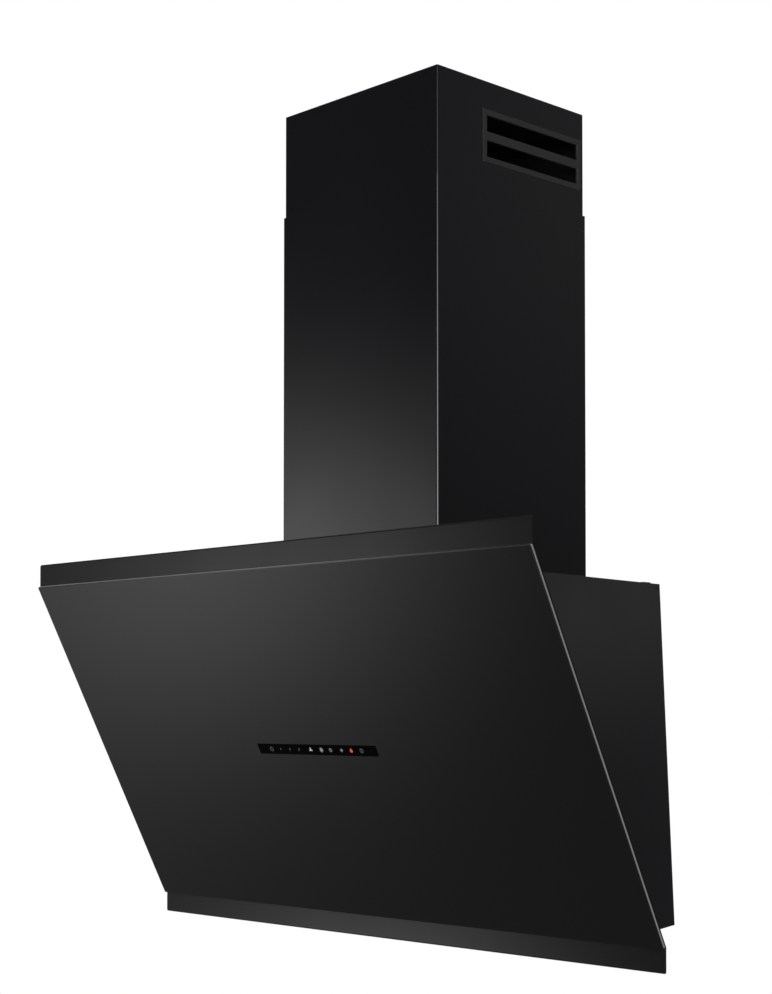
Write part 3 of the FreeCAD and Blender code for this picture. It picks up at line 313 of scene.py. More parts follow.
def zinc_steel():
    """Bright zinc plating: rolled grain and small spangles."""
    finish = Finish("zinc_steel", Metallic=0.8, IOR=1.5)
    spangle = finish.cells(260.0)
    grain = finish.noise(900.0, detail=2.0, stretch=(0.12, 1.0, 1.0))
    finish.colour(spangle, (0.42, 0.43, 0.45), (0.60, 0.61, 0.62))
    finish.gloss(grain, 0.26, 0.42)
    finish.bump(grain, 0.00003, 0.5)
    return finish.material


def drawn_aluminium(name, low, high, stretch):
    """Satin aluminium with drawn lines along it."""
    finish = Finish(name, Metallic=0.7, IOR=1.5)
    lines = finish.noise(1500.0, detail=2.0, stretch=stretch)
    cloud = finish.noise(22.0, detail=4.0)
    finish.colour(cloud, grey(low, 1.02), grey(high, 1.01))
    finish.gloss(lines, 0.28, 0.44)
    finish.bump(lines, 0.00004, 0.4)
    return finish.material


def foil():
    """Thin crumpled aluminium foil."""
    finish = Finish("duct_foil", Metallic=0.75, IOR=1.5)
    creases = finish.cells(110.0, feature="DISTANCE_TO_EDGE")
    cloud = finish.noise(60.0, detail=4.0)
    finish.colour(cloud, grey(0.50, 1.02), grey(0.72, 1.01))
    finish.gloss(cloud, 0.20, 0.38)
    finish.bump(finish.between(creases, 0.0, 1.0, 0.0, 0.25), 0.00012, 0.3)
    finish.bump(finish.noise(320.0, detail=3.0), 0.00006, 0.35)
    return finish.material


def moulded(name, low, high, rough=0.45, tint=(1.0, 1.0, 1.0), grain=700.0, shine=0.5):
    """Moulded plastic with a spark-eroded grain."""
    finish = Finish(name, IOR=1.46, Specular_IOR_Level=shine)
    grit = finish.noise(grain, detail=3.0, roughness=0.6)
    flow = finish.noise(16.0, detail=3.0, distortion=0.8)
    finish.colour(flow, tuple(low * t for t in tint), tuple(high * t for t in tint))
    finish.gloss(grit, rough - 0.06, rough + 0.10)
    finish.bump(grit, 0.00006, 0.45)
    return finish.material


def motor_paint():
    finish = Finish("motor_paint", Metallic=0.3, IOR=1.5)
    cloud = finish.noise(30.0, detail=4.0)
    stack = finish.node("ShaderNodeTexWave", {"Vector": finish.space, "Scale": 160.0},
                        bands_direction="X")
    finish.colour(cloud, grey(0.05), grey(0.09))
    finish.gloss(cloud, 0.35, 0.5)
    finish.bump(stack.outputs["Fac"], 0.0003, 0.4)
    return finish.material


def circuit_board():
    """Green solder mask over tracks, with bare pads."""
    finish = Finish("circuit_board", IOR=1.5)
    tracks = finish.node("ShaderNodeTexBrick", {"Vector": finish.space, "Scale": 150.0,
                                                "Mortar Size": 0.035})
    pads = finish.between(finish.cells(240.0), 1.0, 0.0, 0.10, 0.13)
    board = finish.colours(tracks.outputs["Fac"], (0.010, 0.085, 0.032), (0.018, 0.15, 0.06))
    finish.colour(pads, board, (0.55, 0.50, 0.36))
    finish.gloss(finish.noise(60.0), 0.22, 0.36)
    finish.bump(tracks.outputs["Fac"], 0.00005, 0.4)
    return finish.material


def charcoal():
    """Crushed carbon behind the grid of a cassette."""
    finish = Finish("charcoal_grain", IOR=1.4)
    grains = finish.cells(430.0)
    finish.colour(finish.between(grains, 0.0, 1.0, 0.0, 0.6), grey(0.020), grey(0.006))
    finish.gloss(grains, 0.55, 0.8, 0.0, 0.6)
    finish.bump(grains, 0.0009, 0.8)
    return finish.material


def lamp_lens_glass():
    """Frosted glass over the lamp."""
    finish = Finish("lamp_diffuser", IOR=1.48, Emission_Strength=0.12)
    ripple = finish.cells(420.0)
    finish.colour(ripple, (0.80, 0.80, 0.76), (0.90, 0.90, 0.87))
    finish.colour(ripple, (0.90, 0.88, 0.80), (1.0, 0.98, 0.92), "Emission Color")
    finish.gloss(ripple, 0.18, 0.3, 0.0, 0.6)
    finish.bump(ripple, 0.0003, 0.6)
    return finish.material


FINISHES = {
    "black_glass": black_glass(),
    "black_steel": painted_steel("black_steel", 0.0007, 0.165, 0.20, shine=0.42, blue=2.6),
    "control_lens": grained("control_lens", 1800.0, 2.0, (0.0001, 0.0004), (0.30, 0.42),
                            (0.00001, 0.2), IOR=1.3, Specular_IOR_Level=0.06),
    "zinc_steel": zinc_steel(),
    "filter_aluminium": drawn_aluminium("filter_aluminium", 0.50, 0.66, (0.05, 1.0, 1.0)),
    "duct_foil": foil(),
    "blower_plastic": moulded("blower_plastic", 0.085, 0.125, tint=(0.94, 1.0, 1.06)),
    "black_plastic": moulded("black_plastic", 0.010, 0.017, rough=0.42),
    "motor_paint": motor_paint(),
    "circuit_board": circuit_board(),
    "terminal_plastic": moulded("terminal_plastic", 0.55, 0.68, rough=0.3),
    "capacitor_shell": moulded("capacitor_shell", 0.62, 0.74, rough=0.34, tint=(1.0, 1.0, 0.97)),
    "charcoal_plastic": moulded("charcoal_plastic", 0.016, 0.026, rough=0.5),
    "magnet_black": grained("magnet_black", 1500.0, 4.0, (0.03, 0.07), (0.4, 0.6),
                            (0.00005, 0.6), Metallic=0.4, IOR=1.6),
    "spring_steel": grained("spring_steel", 900.0, 2.0, (0.45, 0.62), (0.2, 0.35),
                            (0.00003, 0.5), Metallic=0.85, IOR=1.5),
    "lamp_metal": drawn_aluminium("lamp_metal", 0.46, 0.60, (1.0, 1.0, 0.05)),
    "lamp_diffuser": lamp_lens_glass(),
}
# The side edges are painted lighter towards the right (painted highlight); the top edge is painted lighter
# than the side edges (painted highlight) and dark at its right-hand end (painted shade).
SIDE_EDGE_PAINTED_LIGHT = ground_edge_painted_light("glass_side_edge_painted_light", 0.105, 0.150, 0.200)
TOP_EDGE_PAINTED_LIGHT = ground_edge_painted_light("glass_top_edge_painted_light", 0.160, 0.230, 0.028)
MARK = lit_mark("mark_white", (0.60, 0.61, 0.62), 0.30)
SOFT_MARK = lit_mark("mark_soft", (0.30, 0.31, 0.32), 0.20)
DIM_MARK = lit_mark("mark_dim", (0.16, 0.165, 0.17), 0.12)
RED_MARK = lit_mark("mark_red", (0.62, 0.085, 0.055), 0.42)
TRAY_STEEL = painted_steel("tray_steel", 0.0027, 0.165, 0.20, shine=0.20)
VENT_PLASTIC = moulded("vent_plastic", 0.013, 0.018, rough=0.38)
# Near-black plastic, darker than the black plastic: on the air deflector it is painted shade, so that the
# vent slots show dark as in shade; the corner plugs take the same near-black.
DEEP_BLACK_AND_SHADE = moulded("deep_black_and_shade", 0.0016, 0.0030, rough=0.6, shine=0.25)
CARBON = charcoal()

# ---------------- mesh building

class Shape:
    """The points and faces of one piece, gathered from simple forms."""

    def __init__(self):
        self.points = []
        self.faces = []
        self.finishes = []

    def add(self, points, faces, finish=0):
        """Takes in a form; finish is one number, or a list with one for each face."""
        start = len(self.points)
        self.points += points
        self.faces += [tuple(start + i for i in face) for face in faces]
        self.finishes += finish if isinstance(finish, list) else [finish] * len(faces)

    def stack(self, rings, finish=0):
        """Rings of as many points each, joined one to the next and closed at both ends."""
        n = len(rings[0])
        last = n * (len(rings) - 1)
        faces = [(a + i, a + (i + 1) % n, a + n + (i + 1) % n, a + n + i)
                 for a in range(0, last, n) for i in range(n)]
        faces += [tuple(reversed(range(n))), tuple(range(last, last + n))]
        self.add([point for ring in rings for point in ring], faces, finish)

    def prism(self, outline, place, low, high, finish=0):
        """A flat outline of (u, v) points, carried from low to high along the third way."""
        self.stack([[place(u, v, t) for u, v in outline] for t in (low, high)], finish)

    def block(self, x, y, z, place=plain, finish=0):
        outline = [(min(x), min(y)), (max(x), min(y)), (max(x), max(y)), (min(x), max(y))]
        self.prism(outline, place, min(z), max(z), finish)

    def spokes(self, count, x, y, z, place):
        """As many blocks, set evenly about the third way."""
        for i in range(count):
            c, s = math.cos(2 * math.pi * i / count), math.sin(2 * math.pi * i / count)
            self.block(x, y, z, lambda u, v, t: place(u * c - v * s, u * s + v * c, t))

    def turned(self, profile, place, steps=32, finish=0):
        """(radius, height) points turned about the third way; a radius of 0 closes an end."""
        points, rings, faces = [], [], []
        for radius, height in profile:
            rings.append((len(points), 1 if radius else 0))
            for i in range(steps if radius else 1):
                turn = 2 * math.pi * i / steps
                points.append(place(radius * math.cos(turn), radius * math.sin(turn), height))
        for (a, step_a), (b, step_b) in zip(rings, rings[1:]):
            for i in range(steps):
                j = (i + 1) % steps
                corners = (a + i * step_a, b + i * step_b, b + j * step_b, a + j * step_a)
                faces.append(tuple(dict.fromkeys(corners)))
        self.add(points, faces, finish)

    def band(self, inner, outer, low, high, place):
        """A flat-sided ring."""
        self.turned([(inner, low), (outer, low), (outer, high), (inner, high), (inner, low)],
                    place, steps=64)

    def tube(self, path, radius, steps=8):
        """A round wire along a path of points."""
        rings = []
        side = (path[1] - path[0]).normalized().orthogonal()
        for i, point in enumerate(path):
            way = (path[min(i + 1, len(path) - 1)] - path[max(i - 1, 0)]).normalized()
            side = (side - way * side.dot(way)).normalized()
            other = way.cross(side)
            turns = [2 * math.pi * j / steps for j in range(steps)]
            rings.append([point + (side * math.cos(t) + other * math.sin(t)) * radius
                          for t in turns])
        self.stack(rings)

    def ribbon(self, path, half, place, low, high):
        """A flat strip along (u, v) points, so wide each way across v and low to high thick."""
        corners = ((-half, low), (half, low), (half, high), (-half, high))
        self.stack([[place(u, v + aside, t) for aside, t in corners] for u, v in path])

    def lattice(self, us, vs, holes, place, low, high):
        """A plate over a grid of lines, with some of its cells left open."""
        points = [place(u, v, t) for t in (low, high) for v in vs for u in us]
        columns, layer = len(us), len(us) * len(vs)
        cells = {(i, j) for i in range(columns - 1) for j in range(len(vs) - 1)} - holes
        faces = []
        for i, j in sorted(cells):
            a = j * columns + i
            b, c, d = a + 1, a + 1 + columns, a + columns
            faces += [(a, d, c, b), tuple(p + layer for p in (a, b, c, d))]
            for one, two, side in ((a, b, (i, j - 1)), (b, c, (i + 1, j)),
                                   (c, d, (i, j + 1)), (d, a, (i - 1, j))):
                if side not in cells:
                    faces.append((one, two, two + layer, one + layer))
        self.add(points, faces)

    def screw(self, place, radius, height):
        """A domed screw head with a cross recess, standing up along the third way."""
        arm = radius * 0.62
        half = arm * math.tan(math.pi / 12)
        turns = [2 * math.pi * i / 24 for i in range(24)]

        def cross(turn):
            side = abs(math.radians((math.degrees(turn) + 45) % 90 - 45))
            return arm / math.cos(side) if side < math.radians(16) else half / math.sin(side)

        dome = ((1.0, 0.0), (1.0, 0.35), (0.88, 0.75), (0.68, 1.0))
        levels = [([radius * part] * len(turns), height * level) for part, level in dome]
        levels += [([cross(turn) for turn in turns], height * level) for level in (1.0, 0.45)]
        self.stack([[place(r * math.cos(turn), r * math.sin(turn), t)
                     for r, turn in zip(reach, turns)] for reach, t in levels])

    def piece(self, name, body, slot=None, stands_for=(), finishes=None, bevel=0.0, angle=30.0):
        """Makes the object, in the finish of its slot if no other is given, to ride its body."""
        mesh = bpy.data.meshes.new(name)
        mesh.from_pydata([tuple(p) for p in self.points], [], self.faces)
        for material in [FINISHES[slot]] if finishes is None else finishes:
            mesh.materials.append(material)
        mesh.polygons.foreach_set("material_index", self.finishes)
        return finished(name, mesh, body, slot, stands_for, bevel, angle)

    def cutter(self):
        """The form as a tool for cut, which takes it away again."""
        return self.piece("cutter", None, finishes=[])


def finished(name, mesh, body, slot, stands_for, bevel, angle=30.0):
    """Makes the object of a mesh and lets it ride on its body."""
    work = bmesh.new()
    work.from_mesh(mesh)
    bmesh.ops.recalc_face_normals(work, faces=work.faces)
    work.to_mesh(mesh)
    work.free()
    made = bpy.data.objects.new(name, mesh)
    scene.collection.objects.link(made)
    soften(made, bevel, angle)
    if body:
        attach(made, body)
    if stands_for:
        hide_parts(*stands_for)
    return made


def soften(made, width, angle=30.0):
    """Rounds the sharp edges and smooths the shading between them."""
    for polygon in made.data.polygons:
        polygon.use_smooth = True
    made.data.set_sharp_from_angle(angle=math.radians(angle))
    if width:
        bevel = made.modifiers.new("edges", "BEVEL")
        bevel.width = width
        bevel.segments = 2
        bevel.limit_method = "ANGLE"
        bevel.angle_limit = math.radians(angle)
        bevel.use_clamp_overlap = True
        bevel.miter_outer = "MITER_ARC"
        made.modifiers.new("shading", "WEIGHTED_NORMAL").keep_sharp = False


def cut(made, cutters):
    """Takes blocks out of a piece for good."""
    for cutter in cutters:
        boolean = made.modifiers.new("cut", "BOOLEAN")
        boolean.object = cutter
        boolean.solver = "EXACT"
    depsgraph = bpy.context.evaluated_depsgraph_get()
    mesh = bpy.data.meshes.new_from_object(made.evaluated_get(depsgraph))
    made.modifiers.clear()
    made.data = mesh
    for cutter in cutters:
        bpy.data.objects.remove(cutter)


def block_cutter(x, y, z, place=plain):
    shape = Shape()
    shape.block(x, y, z, place)
    return shape.cutter()


def arc(centre, radius, start, end, steps):
    """Points of (u, v) along an arc, by angles in degrees."""
    turns = [math.radians(start + (end - start) * i / steps) for i in range(steps + 1)]
    return [(centre[0] + radius * math.cos(t), centre[1] + radius * math.sin(t)) for t in turns]


def rounded_rectangle(half_u, half_v, radius, middle=(0, 0), steps=4):
    outline = []
    for start, su, sv in ((0, 1, 1), (90, -1, 1), (180, -1, -1), (270, 1, -1)):
        centre = (middle[0] + su * (half_u - radius), middle[1] + sv * (half_v - radius))
        outline += arc(centre, radius, start, start + 90, steps)
    return outline


def shifted(path, distance):
    """An open line moved to its left by a distance, with mitred corners."""
    points = [Vector(p) for p in path]
    ways = [(b - a).normalized() for a, b in zip(points, points[1:])]
    normals = [Vector((-w.y, w.x)) for w in ways]
    moved = [points[0] + normals[0] * distance]
    for point, first, second in zip(points[1:], normals, normals[1:]):
        middle = (first + second).normalized()
        moved.append(point + middle * (distance / middle.dot(first)))
    moved.append(points[-1] + normals[-1] * distance)
    return moved


def bent(path, radii, steps=6):
    """An open line with each corner rounded by its own radius."""
    points = [Vector(p) for p in path]
    line = [points[0]]
    for before, corner, after, radius in zip(points, points[1:], points[2:], radii):
        back = (before - corner).normalized()
        on = (after - corner).normalized()
        half = back.angle(on) / 2
        centre = corner + (back + on).normalized() * (radius / math.sin(half))
        reach = radius / math.tan(half)
        start = corner + back * reach - centre
        end = corner + on * reach - centre
        turn = start.angle_signed(end)
        for i in range(steps + 1):
            step = -turn * i / steps
            line.append(centre + Vector((
                start.x * math.cos(step) - start.y * math.sin(step),
                start.x * math.sin(step) + start.y * math.cos(step))))
    line.append(points[-1])
    return line


def sheet_outline(face_line, sheet, bends):
    """The section of a bent sheet that lies to the left of its outer face's line."""
    middle = bent(shifted(face_line, sheet / 2), [bend + sheet / 2 for bend in bends])
    near = smooth_shift(middle, sheet / 2)
    far = smooth_shift(middle, -sheet / 2)
    return [tuple(p) for p in near + far[::-1]]


def smooth_shift(line, distance):
    ways = [(b - a).normalized() for a, b in zip(line, line[1:])]
    ways = [ways[0]] + [(a + b).normalized() for a, b in zip(ways, ways[1:])] + [ways[-1]]
    return [p + Vector((-w.y, w.x)) * distance for p, w in zip(line, ways)]


def dressed(node, bevel=0.0004, finish=None):
    """A copy of a CAD piece with its edges rounded, in the finish of its slot."""
    slot = SLOT_OF[node]
    mesh = frame["nodes"][node].data.copy()
    work = bmesh.new()
    work.from_mesh(mesh)
    bmesh.ops.remove_doubles(work, verts=work.verts, dist=1e-6)
    if bevel:
        bmesh.ops.dissolve_limit(work, angle_limit=math.radians(0.6), verts=work.verts,
                                 edges=work.edges)
    work.to_mesh(mesh)
    work.free()
    mesh.materials.clear()
    mesh.materials.append(finish or FINISHES[slot])
    for name in [a.name for a in mesh.attributes if a.name == "custom_normal"]:
        mesh.attributes.remove(mesh.attributes[name])
    return finished(f"{node}_finished", mesh, BODY_OF[node], slot, [node], bevel)


# ---------------- glass door

def glass_panel():
    """Black enamelled glass with a pale ground edge; the touch strip lies in a shallow cut."""
    levels = [(GLASS_ARRIS, 0.0), (GLASS_ARRIS * 0.35, GLASS_ARRIS * 0.35), (0.0, GLASS_ARRIS),
              (0.0, GLASS_DARK_EDGE), (0.0, GLASS_SHEET - GLASS_ARRIS),
              (GLASS_ARRIS, GLASS_SHEET)]
    rings = [rounded_rectangle(GLASS_HALF - inset, GLASS_LENGTH / 2 - inset,
                               GLASS_CORNER - inset, (0, GLASS_LENGTH / 2))
             for inset, w in levels]
    outline = rings[-1]
    finishes = []
    for level in range(len(levels) - 1):
        for start, end in zip(outline, outline[1:] + outline[:1]):
            on_side = abs(start[0] + end[0]) / 2 > GLASS_HALF - 2 * GLASS_CORNER
            at_low_end = start[1] + end[1] > GLASS_LENGTH
            pale = 1 if on_side or at_low_end else 2
            finishes.append(pale if level >= (3 if on_side else 2) else 0)
    shape = Shape()
    shape.stack([[slope(u, v, w) for u, v in ring] for ring, (inset, w) in zip(rings, levels)],
                finishes + [0, 0])
    glass = shape.piece("glass_front", "door", "black_glass", ["glass_panel"],
                        [FINISHES["black_glass"], SIDE_EDGE_PAINTED_LIGHT, TOP_EDGE_PAINTED_LIGHT])
    cut(glass, [block_cutter(*STRIP_PLACE, (-STRIP_DEPTH, STRIP_DEPTH), slope)])
    soften(glass, 0, angle=5.0)


def control_window():
    shape = Shape()
    shape.block(*STRIP_PLACE, (0.00005, STRIP_DEPTH), slope)
    shape.piece("touch_strip", "door", "control_lens", ["control_window"], bevel=0.0001)


MARK_PROUD = 0.00006
POWER_X = -0.0747                     # middles of the marks along the strip
SPEED_XS = (-0.0594, -0.0437, -0.0284)
FAN_X = -0.0090
LIGHT_X = 0.0085
TIMER_X = 0.0234
PLUS_X = 0.0411
RED_X = 0.0564
RING_X = 0.0726


def mark(shape, outline, x):
    """A flat mark on the strip, from (u, v) points about its middle."""
    shape.prism(outline, lambda u, v, t: slope(x + u, STRIP_V - v, -t), -MARK_PROUD, MARK_PROUD)


def ring_mark(shape, x, radius, width, start=0.0, end=360.0):
    step = (end - start) / 24
    for i in range(24):
        low, high = start + i * step, start + (i + 1) * step
        mark(shape, arc((0, 0), radius, low, high, 1) + arc((0, 0), radius - width, high, low, 1), x)


def bar(length, width, turn=0.0, out=0.0):
    """A bar with round ends, so far out from the middle, then turned by so many degrees."""
    half = length / 2 - width / 2
    points = (arc((0, out + half), width / 2, 0, 180, 4)
              + arc((0, out - half), width / 2, 180, 360, 4))
    c, s = math.cos(math.radians(turn)), math.sin(math.radians(turn))
    return [(u * c - v * s, u * s + v * c) for u, v in points]


def touch_marks():
    """Ten small marks: on and off, three speeds, fan, lamp, timer, plus, a red one and a ring."""
    dim, soft, white, red = Shape(), Shape(), Shape(), Shape()
    ring_mark(dim, POWER_X, 0.0026, 0.0005, 115, 425)
    mark(dim, bar(0.0024, 0.0005, out=0.0020), POWER_X)
    for i, x in enumerate(SPEED_XS):
        mark(dim, bar(0.0022 + 0.0007 * i, 0.0008, turn=-14.0), x)
    for turn in (0, 120, 240):
        mark(white, bar(0.0026, 0.0014, turn, 0.0014), FAN_X)
    ring_mark(white, LIGHT_X, 0.0016, 0.0006)
    for turn in range(0, 360, 60):
        mark(white, bar(0.0011, 0.0005, turn, 0.0026), LIGHT_X)
    ring_mark(soft, TIMER_X, 0.0022, 0.0006)
    mark(soft, bar(0.0016, 0.0005, out=0.0006), TIMER_X)
    mark(soft, bar(0.0044, 0.0012), PLUS_X)
    mark(soft, bar(0.0044, 0.0012, 90), PLUS_X)
    drop = arc((0, -0.0005), 0.0021, -220, 40, 12) + [(0, 0.0028)]
    mark(red, drop, RED_X)
    ring_mark(dim, RING_X, 0.0026, 0.0005)
    mark(dim, bar(0.0012, 0.0012), RING_X)
    for name, shape, finish in (("marks_dim", dim, DIM_MARK), ("marks_soft", soft, SOFT_MARK),
                                ("marks_white", white, MARK), ("mark_red", red, RED_MARK)):
        shape.piece(name, "door", finishes=[finish])


def door_carrier():
    """One bent sheet: return, upper band, plate behind the glass, lower band, return."""
    top = slope(0, 0, GLASS_SHEET)
    low = slope(0, GLASS_LENGTH, GLASS_SHEET)
    line = [(top.y + BAND_RETURN, top.z + BAND_HEIGHT), (top.y, top.z + BAND_HEIGHT),
            (top.y, top.z), (low.y, low.z), (low.y, low.z - BAND_HEIGHT),
            (low.y + BAND_RETURN, low.z - BAND_HEIGHT)]
    shape = Shape()
    section = sheet_outline(line, CARRIER_SHEET, [SHEET_BEND] * 4)
    shape.prism(section, lambda y, z, x: Vector((x, y, z)), -GLASS_HALF, GLASS_HALF)
    tray = shape.piece("door_tray", "door", "black_steel", ["door_carrier"], [TRAY_STEEL])
    cutters = [block_cutter((-BOARD_HALF, BOARD_HALF),
                            (STRIP_V - BOARD_HEIGHT / 2, STRIP_V + BOARD_HEIGHT / 2),
                            (0.003, 0.007), slope)]
    inside, beyond = GLASS_HALF - BAND_CORNER, GLASS_HALF + 0.001
    waste = arc((inside, -BAND_CORNER), BAND_CORNER, 0, 90, 6)
    waste += [(inside, 0.001), (beyond, 0.001), (beyond, -BAND_CORNER)]
    for edge, up in ((top, 1), (low, -1)):
        y, z = edge.y, edge.z + up * BAND_HEIGHT
        for sign in (-1, 1):
            cutters.append(block_cutter(
                (sign * (GLASS_HALF - RETURN_END_GAP), sign * 0.41),
                (y + CARRIER_SHEET, y + 0.02), (z - 0.004, z + 0.004)))
            corner = Shape()
            corner.prism([(sign * u, z + up * v) for u, v in waste],
                         lambda u, v, t: Vector((u, t, v)), y - 0.001, y + 0.003)
            cutters.append(corner.cutter())
    cut(tray, cutters)
    soften(tray, 0.0002)


# ---------------- chimney

def chimney_sheet(node, bend):
    """A U-shaped cover with rounded folds and its rear edges turned in along the wall."""
    low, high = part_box(node)
    line = [(low.x + CHIMNEY_RETURN, high.y), (low.x, high.y), (low.x, low.y), (high.x, low.y),
            (high.x, high.y), (high.x - CHIMNEY_RETURN, high.y)]
    shape = Shape()
    shape.prism(sheet_outline(line, CHIMNEY_SHEET, [REAR_BEND, bend, bend, REAR_BEND]), plain,
                low.z, high.z)
    return shape, low, high


def lower_chimney():
    shape, low, high = chimney_sheet("lower_chimney", LOWER_BEND)
    cover = shape.piece("lower_cover", "housing", "black_steel", ["lower_chimney"])
    foot = Shape()
    inner = (high.x - CHIMNEY_SHEET, low.y + CHIMNEY_SHEET, high.y - CHIMNEY_SHEET)
    level = (low.z, low.z + CHIMNEY_SHEET)
    foot.block((-inner[0], inner[0]), (inner[1], inner[1] + CHIMNEY_FOOT), level)
    for sign in (-1, 1):
        foot.block((sign * inner[0], sign * (inner[0] - CHIMNEY_FOOT)),
                   (inner[1] + CHIMNEY_FOOT, inner[2]), level)
    foot.piece("lower_cover_foot", "housing", "black_steel", bevel=0.0002)
    soften(cover, 0.0002)


def upper_chimney():
    shape, low, high = chimney_sheet("upper_chimney", UPPER_BEND)
    cover = shape.piece("upper_cover_sheet", "upper_cover", "black_steel", ["upper_chimney"])
    half_z = VENT_SLOT + VENT_BAR / 2 + VENT_BORDER - VENT_FLANGE
    half_y = VENT_HALF_Y + VENT_BORDER - VENT_FLANGE
    cut(cover, [block_cutter((2 * low.x, 2 * high.x), (VENT_Y - half_y, VENT_Y + half_y),
                             (VENT_Z - half_z, VENT_Z + half_z))])
    soften(cover, 0.0002)


def vent_grille(side, sign):
    """The insert in the cover's side: a thin flange, a collar and one bar between two slots."""
    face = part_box("upper_chimney")[1].x

    def place(y, z, out):
        return Vector((sign * (face + out), VENT_Y + y, VENT_Z + z))

    def plate(border, low, high):
        ends = VENT_HALF_Y + border
        edge = VENT_BAR / 2 + VENT_SLOT
        shape.lattice([-ends, -VENT_HALF_Y, VENT_HALF_Y, ends],
                      [-edge - border, -edge, -VENT_BAR / 2, VENT_BAR / 2, edge, edge + border],
                      {(1, 1), (1, 3)}, place, low, high)

    shape = Shape()
    plate(VENT_BORDER, 0, VENT_PROUD)
    plate(VENT_BORDER - VENT_FLANGE - 0.0002, -VENT_DEPTH, 0.00005)
    shape.piece(f"vent_insert_{side}", "upper_cover", "black_plastic", [f"vent_grille_{side}"],
                [VENT_PLASTIC], bevel=0.0003)


# ---------------- duct and collar

def exhaust_duct():
    """Foil duct with fine rings; smooth cuffs where the clamps hold it."""
    low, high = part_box("exhaust_duct")
    radius = (high.x - low.x) / 2
    cuff, pitch, foil_sheet = 0.017, 0.0056, 0.0003
    outer = [(radius, low.z), (radius, low.z + cuff)]
    z = low.z + cuff + pitch / 2
    while z < high.z - cuff - pitch / 2:
        inside_lap = z < low.z + 0.038 or z > high.z - 0.038
        depth = 0.0008 if inside_lap else 0.0032
        outer += [(radius - depth, z - pitch * 0.1), (radius - depth, z + pitch * 0.1),
                  (radius - depth * 0.12, z + pitch * 0.38), (radius, z + pitch * 0.5),
                  (radius - depth * 0.12, z + pitch * 0.62)]
        z += pitch
    outer += [(radius, high.z - cuff), (radius, high.z)]
    inner = [(r - foil_sheet, h) for r, h in reversed(outer)]
    shape = Shape()
    shape.turned(outer + inner + outer[:1], upright(0, CHIMNEY_Y), steps=72)
    duct = shape.piece("foil_duct", None, "duct_foil", ["exhaust_duct"], angle=50.0)
    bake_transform(duct, "housing", "upper_cover", start=(0, CHIMNEY_Y, low.z + 0.036),
             end=(0, CHIMNEY_Y, high.z - 0.036))


def duct_clamp(node, body):
    """A worm-drive band: rolled edges, pressed thread, housing and a hex-headed screw."""
    low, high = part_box(node)
    middle = (low.z + high.z) / 2
    outer = high.x
    inner = outer - 0.0019
    shape = Shape()
    shape.turned([(inner, low.z), (outer - 0.0008, low.z), (outer - 0.0003, low.z + 0.0008),
                  (outer - 0.0011, low.z + 0.0016), (outer - 0.0011, high.z - 0.0016),
                  (outer - 0.0003, high.z - 0.0008), (outer - 0.0008, high.z), (inner, high.z),
                  (inner, low.z)], upright(0, CHIMNEY_Y), steps=96)
    shape.spokes(72, (outer - 0.0014, outer - 0.0007), (-0.0009, 0.0009),
                 (low.z + 0.0026, high.z - 0.0026), upright(0, CHIMNEY_Y))
    front = CHIMNEY_Y - outer
    shape.block((-0.0042, 0.0042), (front - 0.0058, front + 0.0015),
                (low.z + 0.0004, high.z - 0.0004))
    place = across(front - 0.0024, middle)
    shape.turned([(0, -0.0059), (0.0026, -0.0059), (0.0026, -0.004), (0, -0.004)], place, 16)
    shape.turned([(0, 0.0042), (0.0034, 0.0042), (0.0034, 0.0054), (0.0030, 0.0059), (0, 0.0059)],
                 place, 6)
    shape.piece(node + "_band", body, "zinc_steel", [node], bevel=0.00015)


# ---------------- grease filters

def grease_filter(side, x):
    """Three layers of expanded metal: zigzag strands that meet at their bends."""
    rows, pitches = 67, 20
    pitch = (MESH_V[1] - MESH_V[0]) / rows
    swing = pitch / 2 - 0.00025
    step = MESH_HALF / pitches
    shape = Shape()
    for layer in (-1, 0, 1):
        centre = MESH_W + layer * MESH_STEP
        for row in range(rows):
            v = MESH_V[0] + (row + 0.5) * pitch
            path = [(x - MESH_HALF + k * step, v + swing * (-1) ** (k + row + layer))
                    for k in range(2 * pitches + 1)]
            beside_pocket = v - pitch / 2 < POCKET_END_V
            for run in (path[:15], path[-15:]) if beside_pocket else (path,):
                shape.ribbon(run, 0.00055, slope, centre - MESH_SHEET / 2, centre + MESH_SHEET / 2)
    shape.piece(f"expanded_mesh_{side}", "housing", "filter_aluminium",
                [f"grease_filter_mesh_{side}"], angle=20.0)

    rivets = Shape()
    for place in seats((x - 0.108, x + 0.108), (0.068, 0.24, 0.412), slope):
        rivets.turned([(0, 0.0329), (0.0021, 0.0329), (0.0020, 0.0325), (0.0013, 0.0322),
                       (0, 0.0321)], place, steps=16)
    rivets.piece(f"filter_rivets_{side}", "housing", "filter_aluminium")


def latch_spring(side, x):
    """A coil between the latch and the end of its pocket."""
    turns, steps = 6, 18
    start, end = SPRING_V
    path = []
    for i in range(turns * steps + 1):
        turn = 2 * math.pi * i / steps
        path.append(slope(x + 0.0025 * math.cos(turn), start + 0.0005
                          + (end - start - 0.001) * i / (turns * steps),
                          SPRING_W + 0.0025 * math.sin(turn)))
    shape = Shape()
    shape.tube(path, 0.00042)
    coil = shape.piece(f"spring_coil_{side}", None, "spring_steel", [f"latch_spring_{side}"],
                       angle=60.0)
    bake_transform(coil, "housing", f"{side}_latch", start=slope(x, end - 0.0008, SPRING_W),
             end=slope(x, start + 0.0008, SPRING_W))


# ---------------- blower

